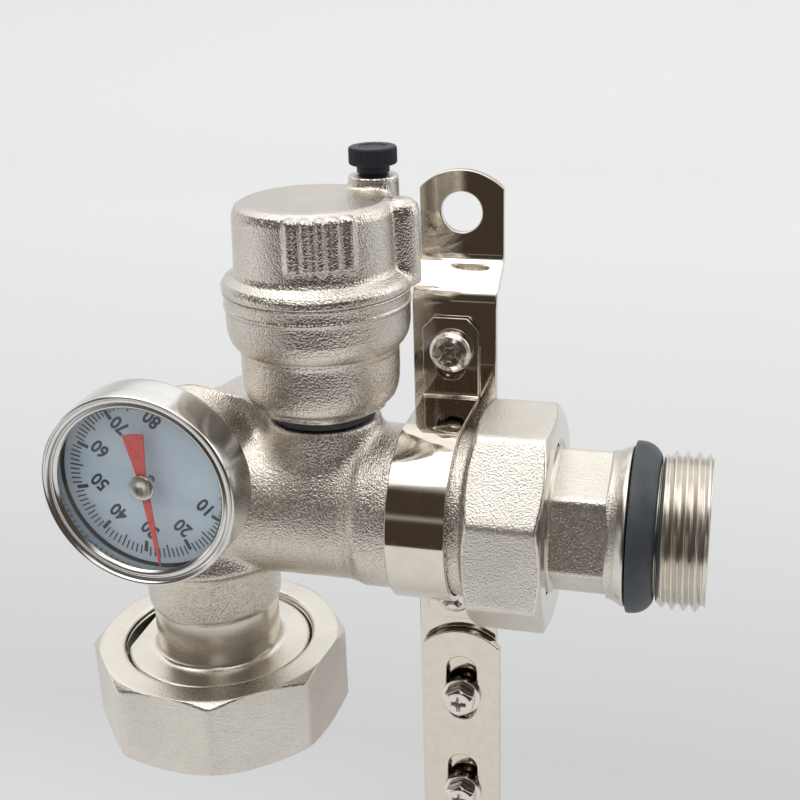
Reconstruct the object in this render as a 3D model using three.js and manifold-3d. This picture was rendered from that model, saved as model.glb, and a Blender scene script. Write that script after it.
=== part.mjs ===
// Pump-outlet assembly of an underfloor-heating mixing set: cast body with an
// automatic float air vent on top, dial thermometer in front, union nut below,
// clamp, two-piece wall bracket, and a union tailpiece with an O-ring.
// Millimetres, +Z up, +Y towards the wall, +X towards the tailpiece thread.
// Working frame: bar axis meets vent axis at (0,0,0). The exported frame is
// moved so that its origin lies on the back face of the upper wall foot.
import * as THREE from "three";
import { mergeVertices } from "three/addons/utils/BufferGeometryUtils.js";
import Module from "manifold-3d";

const wasm = await Module();
wasm.setup();

// ---- driving dimensions ----
const WALL_Y = 30; // wall plane
const BR_X = 25.0, BR_W = 19, BR_T = 2; // bracket strip centre, width, sheet
const FOOT_Z = 59.2, FOOT_HOLE_R = 4.6; // upper foot hole
const LOW_FOOT_Z = -144; // lower foot hole
const PLATE_Y = 19; // front face of the upper strip
const BAR_R = 17.1, COLLAR_R = 18.1, BAR_BORE = 12.5, BAR_END = 43.4;
const NUT_X0 = 34.7, NUT_X1 = 51.0, NUT_R = 24.95, NUT_PH = 25.5;
const NECK = { x: -28.6, y: -1.5 }, NECK_BORE = 11.5;
const BN_TOP = -37.4, BN_BOT = -57, BN_R = 30.0, BN_PH = 17.1;
const TH = { x: -28.5, z: 15.1 }; // thermometer axis, along -Y
const DIAL_Y = -27.84; // front face of the dial
const POINTER_TURN = 174; // degrees from straight up; the scale reads about 26 there
const KN = { x: 9.2, y: 13.6 }; // vent cap axis
const COL = { x: 17.6, y: 4.5 }; // side column of the lid
const TAIL_BORE = 11.5, TH_CREST = 16.62, PITCH = 2.309;
const STRAP_X = 24.4, STRAP_W = 12.6;
const CLAMP_Z = 30.6, SLOT_Z1 = -59.2, SLOT_Z2 = -88.0;

// ---- helpers ----
const D2R = Math.PI / 180;
function solid(geo) {
  let g = geo.clone();
  g.deleteAttribute("normal");
  g.deleteAttribute("uv");
  g = mergeVertices(g, 1e-4);
  const t = new Uint32Array(g.index.array);
  let m = new wasm.Manifold(new wasm.Mesh({ numProp: 3, vertProperties: new Float32Array(g.attributes.position.array), triVerts: t }));
  if (m.volume() < 0) {
    for (let i = 0; i < t.length; i += 3) [t[i + 1], t[i + 2]] = [t[i + 2], t[i + 1]];
    m = new wasm.Manifold(new wasm.Mesh({ numProp: 3, vertProperties: new Float32Array(g.attributes.position.array), triVerts: t }));
  }
  return m;
}
const MX = new THREE.Matrix4();
// profile of [r, h] pairs turned about an axis: "Z", "X" or "Y" (h grows with +axis)
function turn(axis, prof, segs = 36, at = [0, 0, 0]) {
  segs = Math.max(12, 2 * Math.round(segs * 0.35));
  const g = new THREE.LatheGeometry(prof.map(([r, h]) => new THREE.Vector2(r, h)), segs);
  if (axis === "Z") g.rotateX(Math.PI / 2);
  if (axis === "X") g.rotateZ(-Math.PI / 2);
  g.translate(...at);
  return solid(g);
}
const rod = (axis, r, a, b, segs = 24, at = [0, 0, 0]) => turn(axis, [[0, a], [r, a], [r, b], [0, b]], segs, at);
const ring = (axis, ri, ro, a, b, segs = 32, at = [0, 0, 0]) => turn(axis, [[ri, a], [ro, a], [ro, b], [ri, b], [ri, a]], segs, at);
function torus(axis, R, r, h, segs = 36, n = 10, at = [0, 0, 0], sx = 1) {
  const p = [];
  for (let i = 0; i <= n; i++) {
    const a = (i % n) / n * 2 * Math.PI;
    p.push([R + r * Math.cos(a), h + r * sx * Math.sin(a)]);
  }
  return turn(axis, p, segs, at);
}
function box(x0, x1, y0, y1, z0, z1) {
  const g = new THREE.BoxGeometry(x1 - x0, y1 - y0, z1 - z0);
  g.translate((x0 + x1) / 2, (y0 + y1) / 2, (z0 + z1) / 2);
  return solid(g);
}
// regular prism with circumradius R, first corner at angle ph (degrees)
function prism(axis, n, R, ph, a, b, at = [0, 0, 0]) {
  const s = new THREE.Shape();
  for (let i = 0; i < n; i++) {
    const t = ph * D2R + (i * 2 * Math.PI) / n;
    i ? s.lineTo(R * Math.cos(t), R * Math.sin(t)) : s.moveTo(R * Math.cos(t), R * Math.sin(t));
  }
  const g = new THREE.ExtrudeGeometry(s, { depth: b - a, bevelEnabled: false });
  g.translate(0, 0, a);
  if (axis === "X") g.applyMatrix4(MX.makeBasis(new THREE.Vector3(0, 1, 0), new THREE.Vector3(0, 0, 1), new THREE.Vector3(1, 0, 0)));
  if (axis === "Y") g.applyMatrix4(MX.makeBasis(new THREE.Vector3(1, 0, 0), new THREE.Vector3(0, 0, -1), new THREE.Vector3(0, 1, 0)));
  g.translate(...at);
  return solid(g);
}
// outline in (X,Z) pushed along Y from y0 to y1
function plateXZ(pts, y0, y1) {
  const s = new THREE.Shape(pts.map(([x, z]) => new THREE.Vector2(x, z)));
  const g = new THREE.ExtrudeGeometry(s, { depth: y1 - y0, bevelEnabled: false });
  g.applyMatrix4(MX.makeBasis(new THREE.Vector3(1, 0, 0), new THREE.Vector3(0, 0, 1), new THREE.Vector3(0, -1, 0)));
  g.translate(0, y1, 0);
  return solid(g);
}
// outline in (Y,Z) pushed along X from x0 to x1
function plateYZ(pts, x0, x1) {
  const s = new THREE.Shape(pts.map(([y, z]) => new THREE.Vector2(y, z)));
  const g = new THREE.ExtrudeGeometry(s, { depth: x1 - x0, bevelEnabled: false });
  g.applyMatrix4(MX.makeBasis(new THREE.Vector3(0, 1, 0), new THREE.Vector3(0, 0, 1), new THREE.Vector3(1, 0, 0)));
  g.translate(x0, 0, 0);
  return solid(g);
}
function arc(cx, cz, r, a0, a1, n) {
  const p = [];
  for (let i = 0; i <= n; i++) {
    const t = (a0 + ((a1 - a0) * i) / n) * D2R;
    p.push([cx + r * Math.cos(t), cz + r * Math.sin(t)]);
  }
  return p;
}
const slotXZ = (cx, z0, z1, r, y0, y1) => plateXZ([...arc(cx, z1 - r, r, 0, 180, 10), ...arc(cx, z0 + r, r, 180, 360, 10)], y0, y1);
function helix(axis, R, r, h0, h1, turns, at = [0, 0, 0]) {
  class H extends THREE.Curve {
    getPoint(t, o = new THREE.Vector3()) {
      const a = t * turns * 2 * Math.PI, h = h0 + (h1 - h0) * t;
      return axis === "Z" ? o.set(R * Math.cos(a), R * Math.sin(a), h) : o.set(R * Math.cos(a), h, R * Math.sin(a));
    }
  }
  const s = new THREE.Shape(arc(0, 0, r, 0, 300, 5).map(([x, y]) => new THREE.Vector2(x, y)));
  const g = new THREE.ExtrudeGeometry(s, { steps: Math.round(turns * 10), extrudePath: new H(), bevelEnabled: false });
  g.translate(...at);
  return solid(g);
}
const place = (m, deg, x, y) => m.rotate([0, 0, deg]).translate([x, y, 0]);

const group = new THREE.Group();
const inner = new THREE.Group();
inner.position.set(-BR_X, -WALL_Y, -52);
group.add(inner);
function node(name, m, color, metal = 0.9, rough = 0.35) {
  const q = m.getMesh(), n = q.numProp, v = new Float32Array(q.numVert * 3);
  for (let i = 0; i < q.numVert; i++) v.set(q.vertProperties.subarray(i * n, i * n + 3), i * 3);
  let g = new THREE.BufferGeometry();
  g.setAttribute("position", new THREE.BufferAttribute(v, 3));
  g.setIndex(new THREE.BufferAttribute(new Uint32Array(q.triVerts), 1));
  g.computeVertexNormals();
  const mesh = new THREE.Mesh(g, new THREE.MeshStandardMaterial({ color, metalness: metal, roughness: rough }));
  mesh.name = name;
  inner.add(mesh);
}
const NI = 0xc9c3b6, PO = 0xd8d2c8, BK = 0x1b1c1e, ST = 0xcfcfcf, BR = 0xb89a4a;
const nk = [NECK.x, NECK.y, 0], th = [TH.x, 0, TH.z], kn = [KN.x, KN.y, 0];

// ---- cast body ----
{
  let b = turn("X", [[0, -26], [BAR_R, -26], [BAR_R, 7.4], [17.4, 8.6], [17.5, 9.6], [COLLAR_R, 10.8], [COLLAR_R, 33.4], [18.9, 34], [18.9, BAR_END - 0.6], [18.3, BAR_END], [0, BAR_END]], 40);
  b = b.add(turn("Z", [[0, 22.5], [8, 21.2], [13, 17.4], [16.2, 11], [17.2, 4], [17.2, -9], [16.9, -14], [16, -18], [15.4, -21], [15.3, -28.6], [14.4, -30.4], [14.4, -40.0], [22.2, -40.0], [22.2, -44.4], [0, -44.4]], 40, nk));
  // rear chamber and its domed end
  b = b.add(turn("Y", [[0, -4], [15, -4], [12.6, 16], [11.8, 21], [10, 24.2], [7, 26], [0, 26.8]], 36, [-21, 0, 10]));
  // thermometer boss
  b = b.add(turn("Y", [[0, -21.5], [8.2, -21.5], [9, -20.6], [9.6, -12], [12, -4], [0, -4]], 32, th));
  // vent boss
  b = b.add(turn("Z", [[0, 0], [15, 6], [13.4, 12], [12.9, 16], [12.5, 20.1], [12.2, 20.7], [0, 20.7]], 40));
  // waterways
  b = b.subtract(rod("X", BAR_BORE, -30, 50, 32));
  b = b.subtract(rod("Z", NECK_BORE, -50, 6, 32, nk));
  b = b.subtract(turn("Y", [[0, 0], [10.5, 0], [9, 16], [7, 21], [0, 22.5]], 28, [-21, 0, 10]));
  b = b.subtract(rod("Z", 8.1, 5, 30, 28));
  b = b.subtract(rod("Y", 3.7, -30, 5, 24, th));
  node("main_casting", b, NI, 0.9, 0.45);
}

// ---- air vent ----
{
  let w = turn("Z", [[0, 13.2], [7.4, 13.2], [7.8, 14], [7.8, 22.7], [11.8, 22.7], [12, 23.6], [13.3, 24], [14.7, 24.5], [16, 25.9], [16.6, 27.6], [16.9, 29.5], [16.9, 35.6], [17.1, 36.6], [18.4, 38], [19.2, 39.6], [19.5, 41.6], [19.5, 46.3], [19.95, 46.7], [19.95, 49.45], [0, 49.45]], 44);
  w = w.subtract(turn("Z", [[0, 60], [15.2, 60], [15.2, 38], [14.4, 28.8], [12.5, 26.6], [3.9, 25], [3.9, 10], [0, 10]], 36));
  w = w.subtract(ring("Z", 16.2, 18.1, 47.9, 52, 36));
  node("vent_bowl", w, NI, 0.9, 0.45);
  node("vent_lid_oring", torus("Z", 17.15, 0.75, 48.72, 36, 8), BK, 0, 0.6);

  let l = turn("Z", [[0, 49.75], [19.95, 49.75], [19.95, 51.3], [19.4, 52], [17.4, 53.5], [17.05, 54.4], [16.75, 65.6], [16.2, 67], [14.8, 67.9], [0, 67.9]], 44);
  l = l.add(turn("Z", [[0, 52], [5.4, 52], [5.4, 70], [5.1, 70.3], [0, 70.3]], 28, kn));
  l = l.add(turn("Z", [[0, 49.75], [3.7, 49.75], [3.7, 64.4], [3.2, 66.2], [1.8, 67.4], [0, 67.8]], 20, [COL.x, COL.y, 0]));
  for (let i = 0; i < 5; i++) {
    const a = -88.4 + i * 10.4;
    l = l.add(place(box(15.6, 17.75, -0.75, 0.75, 56.4, 66.2), a, 0, 0));
  }
  const u = 55.9; // direction of the lever, degrees from +X
  let c = turn("Z", [[0, 45], [14.6, 45], [14.4, 64.6], [13.4, 65.5], [0, 65.5]], 36);
  c = c.add(rod("Z", 3.4, 45, 64.2, 20, kn));
  c = c.subtract(place(box(-12, -7, -4.4, -2.1, 53, 80), u, 0, 0)).subtract(place(box(-12, -7, 2.1, 4.4, 53, 80), u, 0, 0));
  l = l.subtract(c);
  const pinHole = rod("Y", 0.96, -6, 6, 16, [-9.5, 0, 55]);
  l = l.subtract(place(pinHole, u, 0, 0));
  l = l.subtract(rod("Z", 2.6, 60, 66.4, 20, kn)).subtract(rod("Z", 3.3, 66.3, 80, 20, kn));
  node("vent_lid", l, NI, 0.9, 0.45);
  node("lever_pin", place(rod("Y", 0.88, -4.3, 4.3, 14, [-9.5, 0, 55]), u, 0, 0), ST);
  let lv = box(-9.5, 16.4, -1.6, 1.6, 54.2, 55.8).add(rod("Y", 2, -1.6, 1.6, 18, [-9.5, 0, 55])).add(rod("Z", 2.7, 54.2, 55.8, 18, [16.4, 0, 0]));
  lv = lv.subtract(rod("Y", 0.96, -3, 3, 16, [-9.5, 0, 55])).subtract(rod("Z", 1.7, 50, 60, 16, [16.4, 0, 0]));
  node("float_lever", place(lv, u, 0, 0), BR);
  let f = turn("Z", [[0, 28.9], [3, 28.9], [11.4, 31], [12.3, 32.2], [12.3, 42.8], [11.4, 44], [2.2, 44.6], [1.6, 46], [1.6, 52.6], [0, 52.6]], 32);
  f = f.add(place(box(-1.8, 1.8, -3.4, 3.4, 51.6, 58.4).subtract(box(-3, 3, -2.2, 2.2, 53.1, 56.9)), u, 0, 0));
  node("float", f, 0xe8e6dc, 0, 0.5);
  // valve pin hangs in the lever end and closes upwards on the seat
  node("valve_pin", turn("Z", [[0, 52.6], [2.4, 52.6], [2.4, 53.7], [0.95, 53.9], [0.95, 56.1], [2.4, 56.3], [2.4, 57.1], [1.2, 57.4], [1.2, 59.6], [1.9, 59.9], [1.9, 61.2], [0.5, 62.4], [0, 62.4]], 20, kn), BR);
  node("valve_seat", turn("Z", [[0.9, 62.7], [2.2, 61.5], [2.5, 61.5], [2.5, 66.2], [0.9, 66.2], [0.9, 62.7]], 20, kn), BR);
  let k = turn("Z", [[0, 67.5], [2.7, 67.5], [2.9, 67.8], [2.9, 70.7], [3.5, 70.7], [3.5, 72.5], [5, 72.5], [5.14, 72.8], [5.14, 75.9], [4.9, 76.2], [3.1, 76.2], [3, 76], [0, 76]], 30, kn);
  node("vent_cap", k, BK, 0, 0.5);
  node("cap_seal", ring("Z", 1.1, 2.8, 66.5, 67.3, 20, kn), BK, 0, 0.7);
  node("vent_gasket", ring("Z", 8.2, 11.3, 20.9, 22.5, 28), BK, 0, 0.7);
  // shut-off check under the vent spigot
  node("check_body", turn("Z", [[2.3, 12.4], [7.6, 12.4], [7.6, 5.4], [4.2, 5.4], [4.2, 6.4], [5.6, 6.4], [5.6, 10.9], [2.3, 10.9], [2.3, 12.4]], 28), BR);
  node("check_poppet", turn("Z", [[0, 9.3], [4.9, 9.3], [4.9, 10.4], [1.4, 10.4], [1.4, 14.2], [0, 14.2]], 20), BR);
  node("check_spring", helix("Z", 4.6, 0.3, 6.9, 8.85, 2.5), ST);
}

// ---- thermometer ----
{
  node("thermo_gasket", ring("Y", 3.9, 7.6, -22.8, -21.75, 24, th), BK, 0, 0.7);
  let s = turn("Y", [[0, 3], [2.4, 3], [3, 2.2], [3.3, 0], [3.3, -23.1], [7.4, -23.1], [7.4, -25.4], [4.4, -25.4], [0, -25.4]], 24, th);
  s = s.subtract(rod("Y", 2.4, -30, 1, 18, th));
  node("thermo_stem", s, BR);
  let c = turn("Y", [[2.7, -25.7], [20.2, -25.7], [20.1, -27.6], [19.35, -31.9], [19.3, -32.6], [18.7, -32.6], [19.5, -27.6], [19.5, -26.5], [2.7, -26.5], [2.7, -25.7]], 48, th);
  node("thermo_case", c, ST, 0.95, 0.25);
  // snap bezel: tapered skirt, rounded front rim, and a cone that runs back to the glass
  node("thermo_bezel", turn("Y", [[20.55, -25.9], [21, -25.7], [21.2, -26.3], [21.2, -27.4], [21.05, -32], [20.9, -34.8], [20.6, -35.25], [20.3, -35.2], [17.75, -33.95], [17.75, -33.7], [19.35, -33.7], [19.75, -32], [20.5, -27.6], [20.55, -25.9]], 48, th), ST, 0.95, 0.2);
  node("thermo_glass", rod("Y", 18.9, -33.35, -32.85, 32, th), 0xe8f0f4, 0, 0.05);
  node("thermo_dial", ring("Y", 1.3, 18.9, DIAL_Y, DIAL_Y + 0.54, 40, th), 0xb4bcc8, 0, 0.6);
  // pointer: long tip, wide tail, in the plane in front of the dial
  const pt = plateXZ([[-0.9, 2], [-0.35, 17.5], [0, 18.2], [0.35, 17.5], [0.9, 2], [1.2, -2], [2.3, -11.2], [-2.3, -11.2], [-1.2, -2]], -31.45, -31.1);
  node("thermo_pointer", pt.rotate([0, POINTER_TURN, 0]).subtract(rod("Y", 0.85, -40, -28.5, 12)).translate([TH.x, 0, TH.z]), 0xc0392b, 0, 0.4);
  node("thermo_hub", turn("Y", [[0, -32.6], [2.3, -32.55], [2.75, -32.3], [2.75, -31.75], [0.6, -31.75], [0.6, -4], [0, -4]], 18, th), ST);
  node("thermo_coil", helix("Y", 1.6, 0.3, -20, -6, 5, th), BR);
}

// ---- bottom union nut ----
{
  let n = prism("Z", 8, BN_R, BN_PH, BN_BOT, BN_TOP, nk);
  n = n.intersect(turn("Z", [[0, BN_BOT], [27.9, BN_BOT], [30.2, BN_BOT + 1.4], [30.2, BN_TOP - 1.3], [28.2, BN_TOP], [0, BN_TOP]], 48, nk));
  n = n.subtract(turn("Z", [[0, BN_TOP + 3], [25, BN_TOP + 3], [22.1, BN_TOP - 0.9], [21.7, BN_TOP - 1.2], [21.7, -39.6], [22.9, -39.7], [22.9, -56], [23.6, BN_BOT - 0.2], [23.6, BN_BOT - 3], [0, BN_BOT - 3]], 40, nk));
  node("bottom_union_nut", n, NI, 0.9, 0.4);
  node("bottom_gasket", ring("Z", 12.5, 22, -46.4, -44.7, 32, nk), BK, 0, 0.7);
}

// ---- side union and tailpiece ----
{
  let n = prism("X", 8, NUT_R, NUT_PH, NUT_X0, NUT_X1);
  n = n.intersect(turn("X", [[0, NUT_X0], [22.6, NUT_X0], [25.2, NUT_X0 + 1.5], [25.2, NUT_X1 - 1.5], [22.6, NUT_X1], [0, NUT_X1]], 48));
  n = n.subtract(turn("X", [[0, 30], [19.9, 30], [19.9, NUT_X0 + 0.4], [19.3, NUT_X0 + 1], [19.3, 47.9], [16.1, 48], [16.1, 50.4], [16.9, NUT_X1 + 0.2], [16.9, 55], [0, 55]], 40));
  node("side_union_nut", n, NI, 0.9, 0.45);
  node("tail_gasket", ring("X", 12.6, 18.2, BAR_END + 0.15, 44.8, 28), BK, 0, 0.7);
  const p = [[TAIL_BORE, 45], [18.7, 45], [18.7, 47.6], [15.6, 47.75], [15.6, 51.6], [13.2, 51.8], [13.2, 62.9], [15.2, 63.6], [16.8, 65.2], [16.9, 65.7], [16.9, 66.55], [13.9, 66.6], [13.9, 72.75], [15.15, 72.85]];
  for (let i = 0; i < 4; i++) {
    const x = 73.3 + i * PITCH;
    p.push([TH_CREST - 1.25, x - 0.1], [TH_CREST, x + 0.75], [TH_CREST, x + 1.1], [TH_CREST - 1.25, x + 1.95]);
  }
  p.push([15, 82.9], [TAIL_BORE + 0.8, 82.9], [TAIL_BORE, 82.2], [TAIL_BORE, 45]);
  let t = turn("X", p, 36);
  t = t.add(prism("X", 6, 15.7, 19, 51.7, 63.2).intersect(turn("X", [[0, 51.7], [14.6, 51.7], [15.8, 52.6], [15.8, 63.2], [0, 63.2]], 36)).subtract(rod("X", TAIL_BORE + 0.7, 40, 90, 36)));
  node("tailpiece", t, NI, 0.9, 0.35);
  node("tail_oring", turn("X", [[14.2, 66.9], [17.9, 66.9], [18.08, 67.1], [18.1, 68], [17.95, 69.2], [17.4, 70.4], [16.5, 71.5], [15.4, 72.25], [14.2, 72.4], [14.2, 66.9]], 48), BK, 0, 0.55);
}

// ---- clamp ----
{
  const x0 = STRAP_X - STRAP_W / 2, x1 = STRAP_X + STRAP_W / 2, ri = 18.35, ro = 19.6;
  const yf = PLATE_Y - 0.3, yb = yf - 1.3;
  // one bent strip: tab, leg, half ring, leg, tab
  const outer = [[yf, 38], [yf, ri + 0.9], [yf - 0.9, ri], ...arc(0, 0, ri, 90, 270, 24), [yf - 0.9, -ri], [yf, -ri - 0.9], [yf, -38]];
  const back = [[yb, -38], [yb, -ro - 0.9], [yb - 0.9, -ro], ...arc(0, 0, ro, 270, 90, 24), [yb - 0.9, ro], [yb, ro + 0.9], [yb, 38]];
  let s = plateYZ([...outer, ...back], x0, x1);
  for (const q of [1, -1]) {
    // chamfered tab corners and the screw slot
    for (const e of [1, -1]) s = s.subtract(plateXZ([[STRAP_X + e * 6.4, q * 38.3], [STRAP_X + e * 3.8, q * 38.3], [STRAP_X + e * 6.4, q * 35.2]].sort(() => 0), 10, 25));
    s = s.subtract(q > 0 ? slotXZ(STRAP_X, 23.4, 33.8, 3.3, 12, 25) : slotXZ(STRAP_X, -33.8, -23.4, 3.3, 12, 25));
  }
  node("clamp_strap", s, PO, 1, 0.12);
  for (const [nm, q] of [["upper", 1], ["lower", -1]]) {
    let c = turn("Y", [[0, 25.8], [2.3, 25.8], [2.3, 17.1], [4.85, 17.1], [4.85, 16.2], [4.3, 15], [3, 14.2], [0, 13.9]], 24, [STRAP_X + 0.3, 0, q * CLAMP_Z]);
    for (const a of [45, -45]) c = c.subtract(box(-2.9, 2.9, 12, 15.9, -0.55, 0.55).rotate([0, a, 0]).translate([STRAP_X + 0.3, 0, q * CLAMP_Z]));
    node("clamp_screw_" + nm, c, PO, 1, 0.2);
    node("clamp_nut_" + nm, prism("Y", 6, 4.6, 0, 21.3, 24.8, [STRAP_X + 0.3, 0, q * CLAMP_Z]).subtract(rod("Y", 2.6, 20, 27, 18, [STRAP_X + 0.3, 0, q * CLAMP_Z])), PO, 1, 0.3);
  }
}

// ---- wall bracket ----
{
  const x0 = BR_X - BR_W / 2, x1 = BR_X + BR_W / 2, f = WALL_Y - BR_T;
  // side outlines of the bent strips (Y,Z), front line then back line
  let up = plateYZ([[f, 69], [f, 49.6], [f - 1, 48.2], [PLATE_Y + 0.4, 43.4], [PLATE_Y, 42.2], [PLATE_Y, -106], [PLATE_Y + BR_T, -106], [PLATE_Y + BR_T, 41.8], [PLATE_Y + 2.4, 42.3], [WALL_Y - 0.5, 47.3], [WALL_Y, 48.6], [WALL_Y, 69]], x0, x1);
  const topArc = (cx, z, s) => { // rounded end: sagitta 4.2 over the full width
    const R = 13.05, a = Math.asin(BR_W / 2 / R) / D2R;
    return s > 0
      ? [...arc(cx, z - R, R, 90 + a, 90 - a, 14), [cx + 14, z - 4.2], [cx + 14, z + 6], [cx - 14, z + 6], [cx - 14, z - 4.2]]
      : [...arc(cx, z + R, R, 270 - a, 270 + a, 14), [cx + 14, z + 4.2], [cx + 14, z - 6], [cx - 14, z - 6], [cx - 14, z + 4.2]];
  };
  up = up.subtract(plateXZ(topArc(BR_X, 68.7, 1), 10, 40));
  up = up.subtract(rod("Y", FOOT_HOLE_R, 20, 40, 28, [BR_X, 0, FOOT_Z]));
  for (const q of [1, -1]) up = up.subtract(rod("Y", 2.75, 10, 27, 18, [STRAP_X + 0.3, 0, q * CLAMP_Z]));
  for (const z of [SLOT_Z1, SLOT_Z2]) up = up.subtract(rod("Y", 2.35, 10, 27, 18, [BR_X + 1.2, 0, z]));
  node("bracket_upper", up, PO, 1, 0.12);

  const lf = PLATE_Y - 0.3 - BR_T, lx = BR_X + 1.2, lx0 = lx - BR_W / 2, lx1 = lx + BR_W / 2;
  let lo = plateYZ([[lf, -38], [lf, -119], [lf + 0.5, -120.4], [f - 1, -132.6], [f, -134], [f, -153.6], [WALL_Y, -153.6], [WALL_Y, -133.2], [WALL_Y - 0.4, -132], [lf + 2.5, -119.6], [lf + BR_T, -118.4], [lf + BR_T, -38]], lx0, lx1);
  lo = lo.subtract(plateXZ(topArc(lx, -41.2, 1), 5, 40)).subtract(plateXZ(topArc(lx, -153.5, -1), 5, 40));
  for (const z of [SLOT_Z1, SLOT_Z2]) lo = lo.subtract(slotXZ(lx, z - 7.1, z + 10.8, 3.7, 10, 25));
  lo = lo.subtract(rod("Y", FOOT_HOLE_R, 20, 40, 28, [lx, 0, LOW_FOOT_Z]));
  node("bracket_lower", lo, PO, 1, 0.12);
  [["upper", SLOT_Z1], ["lower", SLOT_Z2]].forEach(([nm, z]) => {
    const at = [lx, 0, z];
    node("strip_washer_" + nm, ring("Y", 2.25, 4.8, lf - 1.2, lf - 0.25, 24, at), PO, 1, 0.25);
    let c = rod("Y", 2.0, 13, 25.6, 16, at).add(prism("Y", 6, 4.0, 30, lf - 4.3, lf - 1.45, at).intersect(turn("Y", [[0, lf - 4.3], [3.2, lf - 4.3], [4.1, lf - 3.6], [4.1, lf], [0, lf]], 24, at)));
    for (const a of [0, 90]) c = c.subtract(box(-1.9, 1.9, lf - 6, lf - 2.6, -0.4, 0.4).rotate([0, a, 0]).translate(at));
    node("strip_screw_" + nm, c, PO, 1, 0.25);
    node("strip_nut_" + nm, prism("Y", 6, 4.0, 0, 21.3, 24.4, at).subtract(rod("Y", 2.25, 20, 27, 16, at)), PO, 1, 0.3);
  });
}

export default group;
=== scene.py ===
import math

import bpy
import bmesh
import numpy as np
from mathutils import Matrix, Vector


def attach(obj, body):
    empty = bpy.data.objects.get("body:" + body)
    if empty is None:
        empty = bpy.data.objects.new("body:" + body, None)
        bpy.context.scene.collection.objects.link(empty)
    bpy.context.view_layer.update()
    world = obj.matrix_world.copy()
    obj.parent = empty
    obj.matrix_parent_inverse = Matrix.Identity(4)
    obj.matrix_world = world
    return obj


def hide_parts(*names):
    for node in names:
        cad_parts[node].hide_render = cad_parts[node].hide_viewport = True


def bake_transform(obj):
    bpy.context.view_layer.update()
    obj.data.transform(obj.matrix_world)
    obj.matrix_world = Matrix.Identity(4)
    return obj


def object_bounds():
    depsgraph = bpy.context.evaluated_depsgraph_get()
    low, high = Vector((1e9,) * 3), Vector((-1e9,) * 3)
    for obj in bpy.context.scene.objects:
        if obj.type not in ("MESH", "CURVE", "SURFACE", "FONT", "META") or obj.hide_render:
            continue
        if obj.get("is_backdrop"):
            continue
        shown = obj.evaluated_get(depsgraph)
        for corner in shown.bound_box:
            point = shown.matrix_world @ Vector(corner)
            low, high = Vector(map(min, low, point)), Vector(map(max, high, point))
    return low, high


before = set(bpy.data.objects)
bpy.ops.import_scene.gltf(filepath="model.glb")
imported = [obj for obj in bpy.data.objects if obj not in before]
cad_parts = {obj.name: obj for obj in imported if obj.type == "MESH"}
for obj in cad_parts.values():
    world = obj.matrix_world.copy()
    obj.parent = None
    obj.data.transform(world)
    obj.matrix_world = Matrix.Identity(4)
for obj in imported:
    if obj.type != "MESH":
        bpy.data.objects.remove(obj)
cad_low, cad_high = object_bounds()

# Working frame: bar axis meets vent axis at the origin, millimetres.
# The row frame is the same axes in metres, moved by OFF.
OFF = np.array([25.0, 30.0, 52.0])
D2R = math.pi / 180


def mm(p):
    return (np.asarray(p, float) - OFF) / 1000.0


scene = bpy.context.scene

# ------------------------------------------------------------------ camera
cam_data = bpy.data.cameras.new("camera")
cam = bpy.data.objects.new("camera", cam_data)
scene.collection.objects.link(cam)
cam_data.sensor_width = 36.0
cam_data.lens = 56.7
cam_data.clip_start = 0.005
cam_data.clip_end = 50
_R = Vector((0.96759, 0.25109, -0.02812)).normalized()
_B = Vector((0.24380, -0.89840, 0.36538)).normalized()
_R = (_R - _B * _R.dot(_B)).normalized()
_U = _B.cross(_R)
M = Matrix.Identity(4)
for i in range(3):
    M[i][0], M[i][1], M[i][2] = _R[i], _U[i], _B[i]
M.translation = Vector(mm((82.55, -240.80, 122.82)))
cam.matrix_world = M
scene.camera = cam

# ------------------------------------------------------------------ materials


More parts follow.
